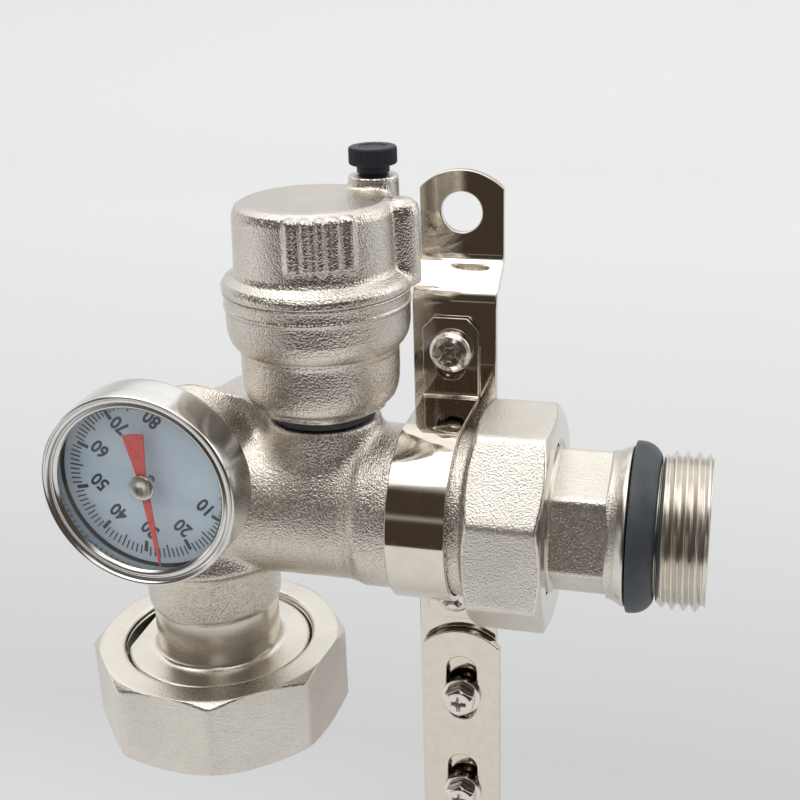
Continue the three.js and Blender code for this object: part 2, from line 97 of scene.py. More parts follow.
class Mat:
    """A small builder of node materials."""

    def __init__(self, name, base=(0.8, 0.8, 0.8), metallic=1.0, rough=0.3, **kw):
        self.m = bpy.data.materials.new(name)
        self.m.use_nodes = True
        self.nt = self.m.node_tree
        self.b = self.nt.nodes["Principled BSDF"]
        self.b.inputs["Base Color"].default_value = (*base, 1)
        self.b.inputs["Metallic"].default_value = metallic
        self.b.inputs["Roughness"].default_value = rough
        for k, v in kw.items():
            self.b.inputs[k].default_value = v
        self.tc = self.nt.nodes.new("ShaderNodeTexCoord")
        self.height = None

    def link(self, a, b):
        self.nt.links.new(a, b)

    def mapped(self, scale=(1, 1, 1), rot=(0, 0, 0)):
        n = self.nt.nodes.new("ShaderNodeMapping")
        n.inputs["Scale"].default_value = scale
        n.inputs["Rotation"].default_value = rot
        self.link(self.tc.outputs["Object"], n.inputs["Vector"])
        return n.outputs["Vector"]

    def noise(self, scale, detail=2.0, rough=0.5, vec=None, distortion=0.0):
        n = self.nt.nodes.new("ShaderNodeTexNoise")
        n.inputs["Scale"].default_value = scale
        n.inputs["Detail"].default_value = detail
        n.inputs["Roughness"].default_value = rough
        n.inputs["Distortion"].default_value = distortion
        self.link(vec or self.tc.outputs["Object"], n.inputs["Vector"])
        return n.outputs["Fac"]

    def voronoi(self, scale, vec=None, feature="F1", out="Distance"):
        n = self.nt.nodes.new("ShaderNodeTexVoronoi")
        n.feature = feature
        n.inputs["Scale"].default_value = scale
        self.link(vec or self.tc.outputs["Object"], n.inputs["Vector"])
        return n.outputs[out]

    def ramp(self, fac, stops):
        n = self.nt.nodes.new("ShaderNodeValToRGB")
        e = n.color_ramp.elements
        while len(e) < len(stops):
            e.new(0.5)
        for el, (p, c) in zip(e, stops):
            el.position = p
            el.color = (*c, 1) if len(c) == 3 else (c[0], c[0], c[0], 1)
        self.link(fac, n.inputs["Fac"])
        return n.outputs["Color"]

    def maprange(self, fac, a, b, c, d):
        n = self.nt.nodes.new("ShaderNodeMapRange")
        for k, v in zip(("From Min", "From Max", "To Min", "To Max"), (a, b, c, d)):
            n.inputs[k].default_value = v
        self.link(fac, n.inputs["Value"])
        return n.outputs["Result"]

    def math(self, op, a, b):
        n = self.nt.nodes.new("ShaderNodeMath")
        n.operation = op
        for i, v in enumerate((a, b)):
            if isinstance(v, (int, float)):
                n.inputs[i].default_value = v
            else:
                self.link(v, n.inputs[i])
        return n.outputs[0]

    def color(self, out):
        self.link(out, self.b.inputs["Base Color"])
        return self

    def roughness(self, out):
        self.link(out, self.b.inputs["Roughness"])
        return self

    def bump(self, h, dist, strength=1.0):
        n = self.nt.nodes.new("ShaderNodeBump")
        n.inputs["Distance"].default_value = dist
        n.inputs["Strength"].default_value = strength
        self.link(h, n.inputs["Height"])
        if self.height is not None:
            self.link(self.height, n.inputs["Normal"])
        self.height = n.outputs["Normal"]
        self.link(self.height, self.b.inputs["Normal"])
        return self


def cast_metal(name, tint=(0.68, 0.635, 0.575), grain=1150.0, slope=1.0, rough=(0.20, 0.34), cloud=60):
    m = Mat(name, tint, 1.0, 0.3)
    big = m.noise(cloud, 3, 0.6)
    lo = tuple(c * 0.92 for c in tint)
    hi = tuple(min(1, c * 1.06) for c in tint)
    m.color(m.ramp(big, [(0.32, lo), (0.7, hi)]))
    g1 = m.noise(grain, 1.0, 0.5)
    g2 = m.noise(grain * 2.3, 1.0, 0.5)
    m.roughness(m.maprange(g2, 0.3, 0.7, rough[0], rough[1]))
    m.bump(big, 0.0003, 0.2)
    m.bump(g1, 0.00018 * slope, 1.0)
    m.bump(g2, 0.00005 * slope, 1.0)
    return m.m


def turned_metal(name, tint=(0.72, 0.68, 0.62), axis="Z", rough=(0.14, 0.26), rings=2600.0):
    m = Mat(name, tint, 1.0, 0.2)
    sc = {"X": (rings, 3, 3), "Y": (3, rings, 3), "Z": (3, 3, rings)}[axis]
    lines = m.noise(1.0, 2, 0.6, vec=m.mapped(sc))
    cloud = m.noise(140, 3, 0.6)
    m.color(m.ramp(cloud, [(0.3, tuple(c * 0.93 for c in tint)), (0.7, tuple(min(1, c * 1.05) for c in tint))]))
    m.roughness(m.maprange(lines, 0.3, 0.7, rough[0], rough[1]))
    m.bump(lines, 0.000012, 0.5)
    m.bump(cloud, 0.00008, 0.12)
    return m.m


def bright_plate(name, tint=(0.74, 0.69, 0.63), rough=(0.035, 0.10), ripple=0.00025):
    m = Mat(name, tint, 1.0, 0.07)
    wave = m.noise(55, 2, 0.5)
    fine = m.noise(420, 3, 0.6)
    scratch = m.noise(1.0, 2, 0.6, vec=m.mapped((2600, 260, 130), (0.2, 0.1, 0.4)))
    m.color(m.ramp(fine, [(0.3, tuple(c * 0.95 for c in tint)), (0.75, tuple(min(1, c * 1.04) for c in tint))]))
    m.roughness(m.maprange(scratch, 0.35, 0.75, rough[0], rough[1]))
    m.bump(wave, ripple, 0.25)
    m.bump(scratch, 0.000006, 0.3)
    return m.m


def rubber(name, base=(0.018, 0.018, 0.02), rough=(0.38, 0.6), grain=2600.0):
    m = Mat(name, base, 0.0, 0.5)
    n = m.noise(grain, 2, 0.5)
    c = m.noise(90, 3, 0.6)
    m.color(m.ramp(c, [(0.3, base), (0.75, tuple(v * 1.9 for v in base))]))
    m.roughness(m.maprange(n, 0.3, 0.7, rough[0], rough[1]))
    m.bump(n, 0.00002, 0.4)
    return m.m


def plain_brass(name, tint=(0.71, 0.53, 0.25)):
    return turned_metal(name, tint, "Z", (0.2, 0.35), 1500)


M_CAST = cast_metal("cast_nickel", (0.67, 0.625, 0.56), 2300.0, 1.25, (0.19, 0.29))
M_VENT = cast_metal("vent_nickel", (0.68, 0.635, 0.57), 2300.0, 0.95, (0.15, 0.25))
M_NUT = cast_metal("nut_nickel", (0.70, 0.66, 0.60), 2500.0, 0.85, (0.28, 0.40))
M_TAIL = cast_metal("tail_nickel", (0.68, 0.64, 0.575), 2500.0, 0.75, (0.25, 0.36))
M_TURN_Z = turned_metal("turned_z", (0.70, 0.655, 0.585), "Z", (0.17, 0.30))
M_FACE = cast_metal("faced_top", (0.71, 0.67, 0.60), 2600.0, 0.3, (0.22, 0.34))
M_TURN_X = turned_metal("turned_x", (0.70, 0.66, 0.60), "X", (0.16, 0.3))
M_STEEL = turned_metal("steel_case", (0.70, 0.69, 0.67), "Y", (0.13, 0.24), 2200)
M_PLATE = bright_plate("bright_plate", (0.70, 0.645, 0.57), (0.045, 0.12), 0.0003)
M_SCREW = bright_plate("screw_plate", (0.74, 0.70, 0.65), (0.10, 0.22), 0.0001)
M_RUB = rubber("black_rubber", (0.024, 0.029, 0.034), (0.40, 0.58))
M_CAP = rubber("cap_plastic", (0.0085, 0.0105, 0.0135), (0.36, 0.5), 1800.0)
for _n in M_CAP.node_tree.nodes:
    if _n.type == "BSDF_PRINCIPLED":
        _n.inputs["Specular IOR Level"].default_value = 0.3
M_BRASS = plain_brass("plain_brass")
M_PIN = turned_metal("pin_steel", (0.6, 0.6, 0.6), "Z", (0.2, 0.32))
M_FLOAT = rubber("float_plastic", (0.62, 0.6, 0.54), (0.4, 0.55), 900.0)


def dial_mat():
    m = Mat("dial", (0.60, 0.68, 0.77), 0.0, 0.42)
    c = m.noise(70, 3, 0.6)
    m.color(m.ramp(c, [(0.3, (0.47, 0.54, 0.615)), (0.75, (0.56, 0.625, 0.695))]))
    f = m.noise(2400, 2, 0.5)
    m.roughness(m.maprange(f, 0.3, 0.7, 0.34, 0.5))
    m.bump(f, 0.00001, 0.3)
    return m.m


def ink_mat(name="dial_ink", base=(0.035, 0.04, 0.05)):
    m = Mat(name, base, 0.0, 0.5)
    n = m.noise(1500, 2, 0.5)
    m.color(m.ramp(n, [(0.3, base), (0.8, tuple(v * 1.5 + 0.01 for v in base))]))
    m.roughness(m.maprange(n, 0.3, 0.7, 0.4, 0.6))
    return m.m


def red_mat():
    m = Mat("pointer_red", (0.55, 0.05, 0.045), 0.0, 0.35)
    n = m.noise(900, 2, 0.5)
    m.color(m.ramp(n, [(0.3, (0.50, 0.045, 0.04)), (0.75, (0.62, 0.075, 0.06))]))
    m.bump(n, 0.00001, 0.3)
    return m.m


def glass_mat():
    m = Mat("glass", (0.96, 0.975, 0.98), 0.0, 0.02)
    m.b.inputs["Transmission Weight"].default_value = 1.0
    m.b.inputs["IOR"].default_value = 1.46
    n = m.noise(60, 2, 0.5)
    m.roughness(m.maprange(n, 0.3, 0.7, 0.0, 0.02))
    m.bump(n, 0.00002, 0.05)
    # light reaches the dial through the pane without caustics
    nt = m.nt
    lp = nt.nodes.new("ShaderNodeLightPath")
    tr = nt.nodes.new("ShaderNodeBsdfTransparent")
    tr.inputs["Color"].default_value = (0.93, 0.95, 0.955, 1)
    mx = nt.nodes.new("ShaderNodeMixShader")
    mxf = m.math("MAXIMUM", lp.outputs["Is Shadow Ray"], lp.outputs["Is Diffuse Ray"])
    nt.links.new(mxf, mx.inputs[0])
    nt.links.new(m.b.outputs[0], mx.inputs[1])
    nt.links.new(tr.outputs[0], mx.inputs[2])
    nt.links.new(mx.outputs[0], nt.nodes["Material Output"].inputs["Surface"])
    return m.m


M_DIAL = dial_mat()
M_INK = ink_mat()
M_RED = red_mat()
M_GLASS = glass_mat()

# ------------------------------------------------------------------ mesh makers


def put(name, verts_mm, faces, mat, body="fixed", slot=None, replaces=(), smooth=True, sharp=None):
    me = bpy.data.meshes.new(name)
    v = mm(verts_mm)
    me.from_pydata(v.tolist(), [], [list(map(int, f)) for f in faces])
    me.validate()
    ob = bpy.data.objects.new(name, me)
    scene.collection.objects.link(ob)
    bm = bmesh.new()
    bm.from_mesh(me)
    bmesh.ops.recalc_face_normals(bm, faces=bm.faces)
    bm.to_mesh(me)
    bm.free()
    me.materials.append(mat)
    if smooth:
        me.shade_smooth()
        if sharp:
            me.set_sharp_from_angle(angle=sharp * D2R)
    finish_piece(ob, body, slot, replaces)
    return ob


def finish_piece(ob, body, slot, replaces):
    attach(ob, body)
    if replaces:
        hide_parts(*replaces)


def put_np(name, verts_mm, quads, mat, body="fixed", slot=None, replaces=(), flip=False):
    """Fast path for large quad meshes."""
    v = mm(verts_mm).astype(np.float32)
    q = np.asarray(quads, np.int32)
    if flip:
        q = q[:, ::-1]
    me = bpy.data.meshes.new(name)
    me.vertices.add(len(v))
    me.vertices.foreach_set("co", v.ravel())
    me.loops.add(q.size)
    me.loops.foreach_set("vertex_index", q.ravel())
    me.polygons.add(len(q))
    me.polygons.foreach_set("loop_start", np.arange(0, q.size, 4, dtype=np.int32))
    me.update(calc_edges=True)
    me.validate()
    me.materials.append(mat)
    me.shade_smooth()
    ob = bpy.data.objects.new(name, me)
    scene.collection.objects.link(ob)
    finish_piece(ob, body, slot, replaces)
    return ob


AX = {
    "Z": (np.array([1.0, 0, 0]), np.array([0, 1.0, 0]), np.array([0, 0, 1.0])),
    "X": (np.array([0, 1.0, 0]), np.array([0, 0, 1.0]), np.array([1.0, 0, 0])),
    "Y": (np.array([1.0, 0, 0]), np.array([0, 0, 1.0]), np.array([0, 1.0, 0])),
}


def fillet(prof, rad=0.25, n=3):
    """Rounds the corners of a closed (r, h) profile."""
    P = [np.array(p, float) for p in prof]
    out = []
    N = len(P)
    for i in range(N):
        a, b, c = P[i - 1], P[i], P[(i + 1) % N]
        if b[0] < 1e-6:
            out.append(b)
            continue
        u, w = a - b, c - b
        lu, lw = np.linalg.norm(u), np.linalg.norm(w)
        if lu < 1e-6 or lw < 1e-6:
            out.append(b)
            continue
        u, w = u / lu, w / lw
        cosang = float(np.clip(u @ w, -1, 1))
        if cosang < -0.985:
            out.append(b)
            continue
        d = min(rad, lu * 0.45, lw * 0.45)
        p0, p1 = b + u * d, b + w * d
        for k in range(n + 1):
            t = k / n
            out.append((1 - t) ** 2 * p0 + 2 * t * (1 - t) * b + t * t * p1)
    return [tuple(p) for p in out]


def lathe(name, prof, axis, at, mat, body="fixed", slot=None, replaces=(), segs=128, rad=0.25, rmod=None, sharp=None, n=3, dens=0):
    """Turns a closed profile of (r, h) about an axis. rmod(r, h, theta) -> r."""
    prof = fillet(prof, rad, n) if rad > 0 else [tuple(map(float, p)) for p in prof]
    if dens > 0:
        q = []
        for i, p in enumerate(prof):
            c = prof[(i + 1) % len(prof)]
            L = math.hypot(c[0] - p[0], c[1] - p[1])
            k = max(1, int(math.ceil(L / dens)))
            if p[0] < 1e-6 and c[0] < 1e-6:
                k = 1
            for j in range(k):
                t = j / k
                q.append((p[0] + (c[0] - p[0]) * t, p[1] + (c[1] - p[1]) * t))
        prof = q
    th = np.linspace(0, 2 * np.pi, segs, endpoint=False)
    ex, ey, ez = AX[axis]
    rr = np.array([p[0] for p in prof])
    hh = np.array([p[1] for p in prof])
    R = np.repeat(rr[:, None], segs, 1)
    H = np.repeat(hh[:, None], segs, 1)
    T = np.repeat(th[None, :], len(prof), 0)
    if rmod is not None:
        R = rmod(R, H, T)
    V = (R * np.cos(T))[..., None] * ex + (R * np.sin(T))[..., None] * ey + H[..., None] * ez + np.asarray(at, float)
    V = V.reshape(-1, 3)
    faces = []
    n_p = len(prof)
    on_axis = rr < 1e-6
    idx = np.arange(n_p * segs).reshape(n_p, segs)
    for i in range(n_p):
        if on_axis[i]:
            idx[i, :] = idx[i, 0]
    for i in range(n_p):
        k = (i + 1) % n_p
        if on_axis[i] and on_axis[k]:
            continue
        for j in range(segs):
            j2 = (j + 1) % segs
            f = [idx[i, j], idx[i, j2], idx[k, j2], idx[k, j]]
            g = []
            for q in f:
                if q not in g:
                    g.append(q)
            if len(g) > 2:
                faces.append(g)
    used = np.unique(np.concatenate([np.array(f) for f in faces]))
    remap = -np.ones(len(V), int)
    remap[used] = np.arange(len(used))
    faces = [[remap[q] for q in f] for f in faces]
    return put(name, V[used], faces, mat, body, slot, replaces, True, sharp)


def smin(a, b, k):
    h = np.clip(0.5 + 0.5 * (b - a) / k, 0, 1)
    return b * (1 - h) + a * h - k * h * (1 - h)


def poly_mod(nside, R, phase, k=0.5):
    """Limits a lathe to a regular polygon with softened edges."""

    def f(r, h, t):
        w = 2 * np.pi / nside
        a = (t - phase * D2R) % w - w / 2
        lim = R * math.cos(w / 2) / np.cos(a)
        return np.where(r > lim - 3 * k, smin(r, lim, k), r)

    return f


# ---- signed distances on a grid, and surface nets


def grid(lo, hi, h):
    lo = np.asarray(lo, float)
    n = np.ceil((np.asarray(hi, float) - lo) / h).astype(int) + 1
    xs = [lo[i] + h * np.arange(n[i]) for i in range(3)]
    X, Y, Z = np.meshgrid(*xs, indexing="ij")
    return lo, h, (X.astype(np.float32), Y.astype(np.float32), Z.astype(np.float32))


def sd_poly2(u, w, pts):
    """Signed distance to a polygon in the (u, w) plane, negative inside."""
    d = np.full(u.shape, 1e9, np.float32)
    s = np.ones(u.shape, bool)
    N = len(pts)
    for i in range(N):
        ax, ay = pts[i]
        bx, by = pts[i - 1]
        ex, ey = bx - ax, by - ay
        wx, wy = u - ax, w - ay
        L = ex * ex + ey * ey
        if L < 1e-12:
            continue
        t = np.clip((wx * ex + wy * ey) / L, 0, 1)
        dx, dy = wx - ex * t, wy - ey * t
        d = np.minimum(d, dx * dx + dy * dy)
        c1 = w >= ay
        c2 = w < by
        c3 = ex * wy > ey * wx
        flip = (c1 & c2 & c3) | (~c1 & ~c2 & ~c3)
        s ^= flip
    return np.where(s, 1, -1) * np.sqrt(d)


def sd_turn(G, axis, at, prof):
    X, Y, Z = G
    x, y, z = X - at[0], Y - at[1], Z - at[2]
    if axis == "Z":
        r, h = np.sqrt(x * x + y * y), z
    elif axis == "X":
        r, h = np.sqrt(y * y + z * z), x
    else:
        r, h = np.sqrt(x * x + z * z), y
    pts = [(-40.0 if p[0] <= 0 else p[0], p[1]) for p in prof]
    return sd_poly2(r, h, pts)


def sd_box(G, c, b, rnd=0.0, rotz=0.0):
    X, Y, Z = G
    x, y, z = X - c[0], Y - c[1], Z - c[2]
    if rotz:
        ca, sa = math.cos(rotz), math.sin(rotz)
        x, y = x * ca + y * sa, -x * sa + y * ca
    qx, qy, qz = np.abs(x) - b[0] + rnd, np.abs(y) - b[1] + rnd, np.abs(z) - b[2] + rnd
    o = np.sqrt(np.maximum(qx, 0) ** 2 + np.maximum(qy, 0) ** 2 + np.maximum(qz, 0) ** 2)
    return o + np.minimum(np.maximum(qx, np.maximum(qy, qz)), 0) - rnd


def smax(a, b, k):
    return -smin(-a, -b, k)


def nets(F, lo, h):
    """Surface nets of the zero level of F. Returns vertices in mm and quads."""
    s = F < 0
    nx, ny, nz = F.shape
    c = np.zeros((nx - 1, ny - 1, nz - 1), np.uint8)
    for dx in (0, 1):
        for dy in (0, 1):
            for dz in (0, 1):
                c += s[dx : nx - 1 + dx, dy : ny - 1 + dy, dz : nz - 1 + dz]
    act = (c > 0) & (c < 8)
    ids = -np.ones(act.shape, np.int64)
    ijk = np.argwhere(act)
    ids[act] = np.arange(len(ijk))
    acc = np.zeros((len(ijk), 3))
    cnt = np.zeros(len(ijk))
    corners = [(a, b, d) for a in (0, 1) for b in (0, 1) for d in (0, 1)]
    for a in corners:
        for ax in range(3):
            if a[ax] == 1:
                continue
            b = list(a)
            b[ax] = 1
            fa = F[ijk[:, 0] + a[0], ijk[:, 1] + a[1], ijk[:, 2] + a[2]]
            fb = F[ijk[:, 0] + b[0], ijk[:, 1] + b[1], ijk[:, 2] + b[2]]
            m = (fa < 0) != (fb < 0)
            t = np.where(m, fa / np.where(m, fa - fb, 1), 0)
            p = np.array(a, float) + np.zeros((len(ijk), 3))
            p[:, ax] += t
            acc[m] += p[m]
            cnt += m
    V = (ijk + acc / np.maximum(cnt, 1)[:, None]) * h + lo
    quads = []
    for ax in range(3):
        o = [(1, 2), (2, 0), (0, 1)][ax]
        sl0 = [slice(None)] * 3
        sl1 = [slice(None)] * 3
        sl0[ax] = slice(0, -1)
        sl1[ax] = slice(1, None)
        ch = s[tuple(sl0)] != s[tuple(sl1)]
        e = np.argwhere(ch)
        good = np.ones(len(e), bool)
        for q in o:
            good &= (e[:, q] > 0) & (e[:, q] < F.shape[q] - 1)
        e = e[good]
        st = s[e[:, 0], e[:, 1], e[:, 2]]

        def cell(du, dv):
            k = e.copy()
            k[:, o[0]] -= du
            k[:, o[1]] -= dv
            return ids[k[:, 0], k[:, 1], k[:, 2]]

        q = np.stack([cell(0, 0), cell(1, 0), cell(1, 1), cell(0, 1)], 1)
        q[~st] = q[~st][:, ::-1]
        quads.append(q)
    Q = np.concatenate(quads)
    return V, Q[(Q >= 0).all(1)]


def project(V, F, lo, h, it=2):
    """Moves vertices on to the zero level by the grid's own gradient."""
    gx, gy, gz = np.gradient(F, h)
    n = np.array(F.shape)

    def tri(A, p):
        q = np.clip((p - lo) / h, 0, n - 1.001)
        i = q.astype(int)
        f = q - i
        r = 0
        for a in (0, 1):
            for b in (0, 1):
                for c in (0, 1):
                    wgt = (f[:, 0] if a else 1 - f[:, 0]) * (f[:, 1] if b else 1 - f[:, 1]) * (f[:, 2] if c else 1 - f[:, 2])
                    r = r + wgt * A[i[:, 0] + a, i[:, 1] + b, i[:, 2] + c]
        return r

    for _ in range(it):
        f = tri(F, V)
        g = np.stack([tri(gx, V), tri(gy, V), tri(gz, V)], 1)
        L = np.maximum((g * g).sum(1), 0.05)
        st = (f / L)[:, None] * g
        st = np.clip(st, -h * 0.5, h * 0.5)
        V = V - st
    return V


def sdf_piece(name, F, lo, h, mat, body="fixed", slot=None, replaces=()):
    V, Q = nets(F, lo, h)
    V = project(V, F, lo, h)
    return put_np(name, V, Q, mat, body, slot, replaces)


def second_mat(ob, mat, pick):
    """Gives the faces that pick(centre_mm, normal) marks a second material."""
    me = ob.data
    me.materials.append(mat)
    n = len(me.polygons)
    c = np.empty(n * 3)
    me.polygons.foreach_get("center", c)
    q = np.empty(n * 3)
    me.polygons.foreach_get("normal", q)
    c = c.reshape(-1, 3) * 1000 + OFF
    q = q.reshape(-1, 3)
    me.polygons.foreach_set("material_index", pick(c, q).astype(np.int32))
    me.update()


def pnorm_poly(nside, apothem, phase, p=70):
    """Radius of a polygon with softened corners; phase is a corner's angle."""

    def f(t):
        s = 0
        for i in range(nside):
            a = (phase + (i + 0.5) * 360 / nside) * D2R
            s = s + np.maximum(np.cos(t - a), 0) ** p
        return apothem / s ** (1 / p)

    return f


# ------------------------------------------------------------------ sizes
NECK = (-28.6, -1.5)
TH = (-28.5, 15.1)
KN = (9.2, 13.6)
COL = (17.6, 4.5)
PITCH = 2.309
BRX = 25.0
LX = 26.2

# ------------------------------------------------------------------ cast body


def casting():
    lo, h, G = grid((-48, -24, -46), (45, 29, 27), 0.5)
    nk = (NECK[0], NECK[1], 0)
    bar = sd_turn(G, "X", (0, 0, 0), [(0, -24), (13, -24), (17.1, -19), (17.1, 7.4), (17.4, 8.6), (17.5, 9.6), (18.1, 10.8), (18.1, 33.4), (18.9, 34), (18.9, 42.8), (18.3, 43.4), (0, 43.4)])
    neck = sd_turn(G, "Z", nk, [(0, 22.5), (8, 21.2), (13, 17.4), (16.2, 11), (17.2, 4), (17.2, -9), (17.55, -10.8), (18.0, -12.4), (17.85, -13.4), (16.5, -14.4), (16.1, -15.6), (15.85, -18), (15.5, -21), (15.35, -25.2), (15.1, -26.0), (0, -26.0)])
    low = sd_turn(G, "Z", nk, [(0, -22), (15.0, -22), (14.9, -25.9), (14.5, -26.4), (14.4, -37.6), (14.9, -38.2), (15.4, -38.45), (20.9, -38.5), (21.35, -38.75), (21.4, -40.0), (22.2, -40.0), (22.2, -44.4), (0, -44.4)])
    rear = sd_turn(G, "Y", (-21, 0, 10), [(0, -4), (15, -4), (12.6, 16), (11.8, 21), (10, 24.2), (7, 26), (0, 26.8)])
    tb = sd_turn(G, "Y", (TH[0], 0, TH[1]), [(0, -21.5), (8.2, -21.5), (9, -20.6), (9.6, -12), (12, -4), (0, -4)])
    vb = sd_turn(G, "Z", (0, 0, 0), [(0, 0), (15, 6), (13.4, 12), (12.9, 16), (12.5, 20.0), (12.1, 20.7), (0, 20.7)])
    d = smin(bar, neck, 1.6)
    d = smin(d, rear, 2.2)
    d = smin(d, tb, 2.5)
    d = smin(d, vb, 2.4)
    d = smin(d, low, 0.35)
    for ax, at, pr in (
        ("X", (0, 0, 0), [(0, -30), (12.5, -30), (12.5, 50), (0, 50)]),
        ("Z", nk, [(0, -50), (11.5, -50), (11.5, 6), (0, 6)]),
        ("Y", (-21, 0, 10), [(0, 0), (10.5, 0), (9, 16), (7, 21), (0, 22.5)]),
        ("Z", (0, 0, 0), [(0, 5), (8.1, 5), (8.1, 30), (0, 30)]),
        ("Y", (TH[0], 0, TH[1]), [(0, -30), (3.7, -30), (3.7, 5), (0, 5)]),
    ):
        d = smax(d, -sd_turn(G, ax, at, pr), 0.3)
    ob = sdf_piece("casting_skin", d.astype(np.float32), lo, h, M_CAST, "fixed", "cast_nickel", ("main_casting",))
    second_mat(ob, M_TURN_Z, lambda c, n: (c[:, 2] < -26.15))
    ob.data.materials.append(M_FACE)
    c = np.empty(len(ob.data.polygons) * 3)
    ob.data.polygons.foreach_get("center", c)
    c = c.reshape(-1, 3) * 1000 + OFF
    mi = np.empty(len(c), np.int32)
    ob.data.polygons.foreach_get("material_index", mi)
    mi[(c[:, 2] < -38.1) & (np.hypot(c[:, 0] - NECK[0], c[:, 1] - NECK[1]) > 15.3)] = 2
    ob.data.polygons.foreach_set("material_index", mi)
    return ob


casting()

# ------------------------------------------------------------------ air vent

hexr = pnorm_poly(6, 12.75, -63, 40)


def bowl_mod(r, h, t):
    lim = hexr(t)
    w = np.clip((25.4 - h) / 0.9, 0, 1)
    lim = lim + (1 - w) * 6
    return np.where((h > 22.3) & (h < 27.5) & (r > 10.5), smin(r, lim, 0.5), r)


bowl = [
    (3.9, 13.2), (7.4, 13.2), (7.8, 14), (7.8, 22.7), (11.8, 22.7), (12.6, 23.0), (13.9, 23.4), (14.6, 24.6), (14.9, 25.1),
    (15.9, 25.9), (16.5, 27.4), (16.8, 29.4), (16.9, 32), (16.9, 36.0), (17.15, 36.7), (17.2, 37.4), (18.2, 38.2), (19.0, 39.6), (19.4, 41.6),
    (19.45, 46.0), (19.75, 46.35), (19.8, 46.8), (19.6, 47.1), (19.65, 49.0), (19.9, 49.25), (19.85, 49.6),
    (18.1, 49.6), (18.1, 47.9), (16.2, 47.9), (16.2, 49.6), (15.2, 49.6), (15.2, 38), (14.4, 28.8), (12.5, 26.6), (3.9, 25),
]
lathe("bowl_skin", bowl, "Z", (0, 0, 0), M_VENT, "fixed", "vent_nickel", ("vent_bowl",), segs=200, rad=0.35, rmod=bowl_mod, dens=0.9, n=3)


def lid():
    lo, h, G = grid((-21.5, -21.5, 48.5), (23, 21.5, 71.4), 0.28)
    X, Y, Z = G
    d = sd_turn(G, "Z", (0, 0, 0), [(0, 49.6), (19.95, 49.6), (19.95, 51.1), (19.3, 52.1), (17.6, 53.3), (17.1, 54.4), (16.75, 65.4), (16.1, 67.0), (14.6, 67.75), (12.9, 67.9), (0, 67.9)])
    knob = sd_turn(G, "Z", (KN[0], KN[1], 0), [(0, 52), (5.4, 52), (5.35, 69.9), (5.1, 70.25), (4.0, 70.3), (0, 70.3)])
    col = sd_turn(G, "Z", (COL[0], COL[1], 0), [(0, 49.75), (3.7, 49.75), (3.7, 64.4), (3.2, 66.2), (1.8, 67.4), (0, 67.8)])
    # broad cast hump between the side column and the drum
    hump = sd_box(G, (14.3, 3.6, 58.6), (4.6, 3.4, 8.2), 2.2, math.atan2(COL[1], COL[0]))
    d = smin(d, knob, 1.5)
    d = smin(d, col, 1.6)
    d = smin(d, hump, 1.5)
    for i in range(5):
        a = (-88.4 + i * 10.4) * D2R
        u = X * math.cos(a) + Y * math.sin(a)
        w = -X * math.sin(a) + Y * math.cos(a)
        zc = 61.7
        qz = np.abs(Z - zc) - 4.4
        rad = np.sqrt((u - 16.5) ** 2 * 0.9 + w * w)
        rib = np.where(qz > 0, np.sqrt(rad ** 2 + qz ** 2), rad) - 1.12
        d = smin(d, rib.astype(np.float32), 0.8)
    u0 = 55.9 * D2R
    core = sd_turn(G, "Z", (0, 0, 0), [(0, 40), (14.6, 40), (14.4, 64.6), (13.4, 65.5), (0, 65.5)])
    core = smin(core, sd_turn(G, "Z", (KN[0], KN[1], 0), [(0, 45), (3.4, 45), (3.4, 64.2), (0, 64.2)]), 0.1)
    for s in (1, -1):
        cx, cy = -9.5 * math.cos(u0) - s * 3.25 * math.sin(u0), -9.5 * math.sin(u0) + s * 3.25 * math.cos(u0)
        ear = sd_box(G, (cx, cy, 60.5), (2.5, 1.15, 7.5), 0.2, u0)
        core = np.maximum(core, -ear)
    d = np.maximum(d, -core)
    d = np.maximum(d, -sd_turn(G, "Z", (KN[0], KN[1], 0), [(0, 60), (2.6, 60), (2.6, 66.4), (3.3, 66.4), (3.3, 80), (0, 80)]))
    d = np.maximum(d, 49.68 - Z)
    sdf_piece("lid_skin", d.astype(np.float32), lo, h, M_VENT, "fixed", "vent_nickel", ("vent_lid",))


lid()

cap_prof = [(0, 67.5), (2.7, 67.5), (2.9, 67.8), (2.9, 70.75), (3.5, 70.8), (3.5, 72.4), (4.9, 72.5), (5.14, 72.8), (5.14, 75.8), (4.85, 76.2), (3.1, 76.2), (2.95, 75.95), (0, 75.9)]


def knurl(r, h, t):
    w = np.clip((r - 4.7) / 0.2, 0, 1) * ((h > 72.4) & (h < 76.1))
    return r - w * 0.11 * (0.5 + 0.5 * np.cos(t * 60))


lathe("cap_skin", cap_prof, "Z", (KN[0], KN[1], 0), M_CAP, "cap", "cap_plastic", ("vent_cap",), segs=600, rad=0.18, rmod=knurl, dens=0.8, n=2)
lathe("vent_gasket_skin", [(8.2, 20.9), (11.0, 20.9), (11.3, 21.15), (11.3, 22.25), (11.0, 22.5), (8.2, 22.5)], "Z", (0, 0, 0), M_RUB, "fixed", "black_rubber", ("vent_gasket",), segs=96, rad=0.1)

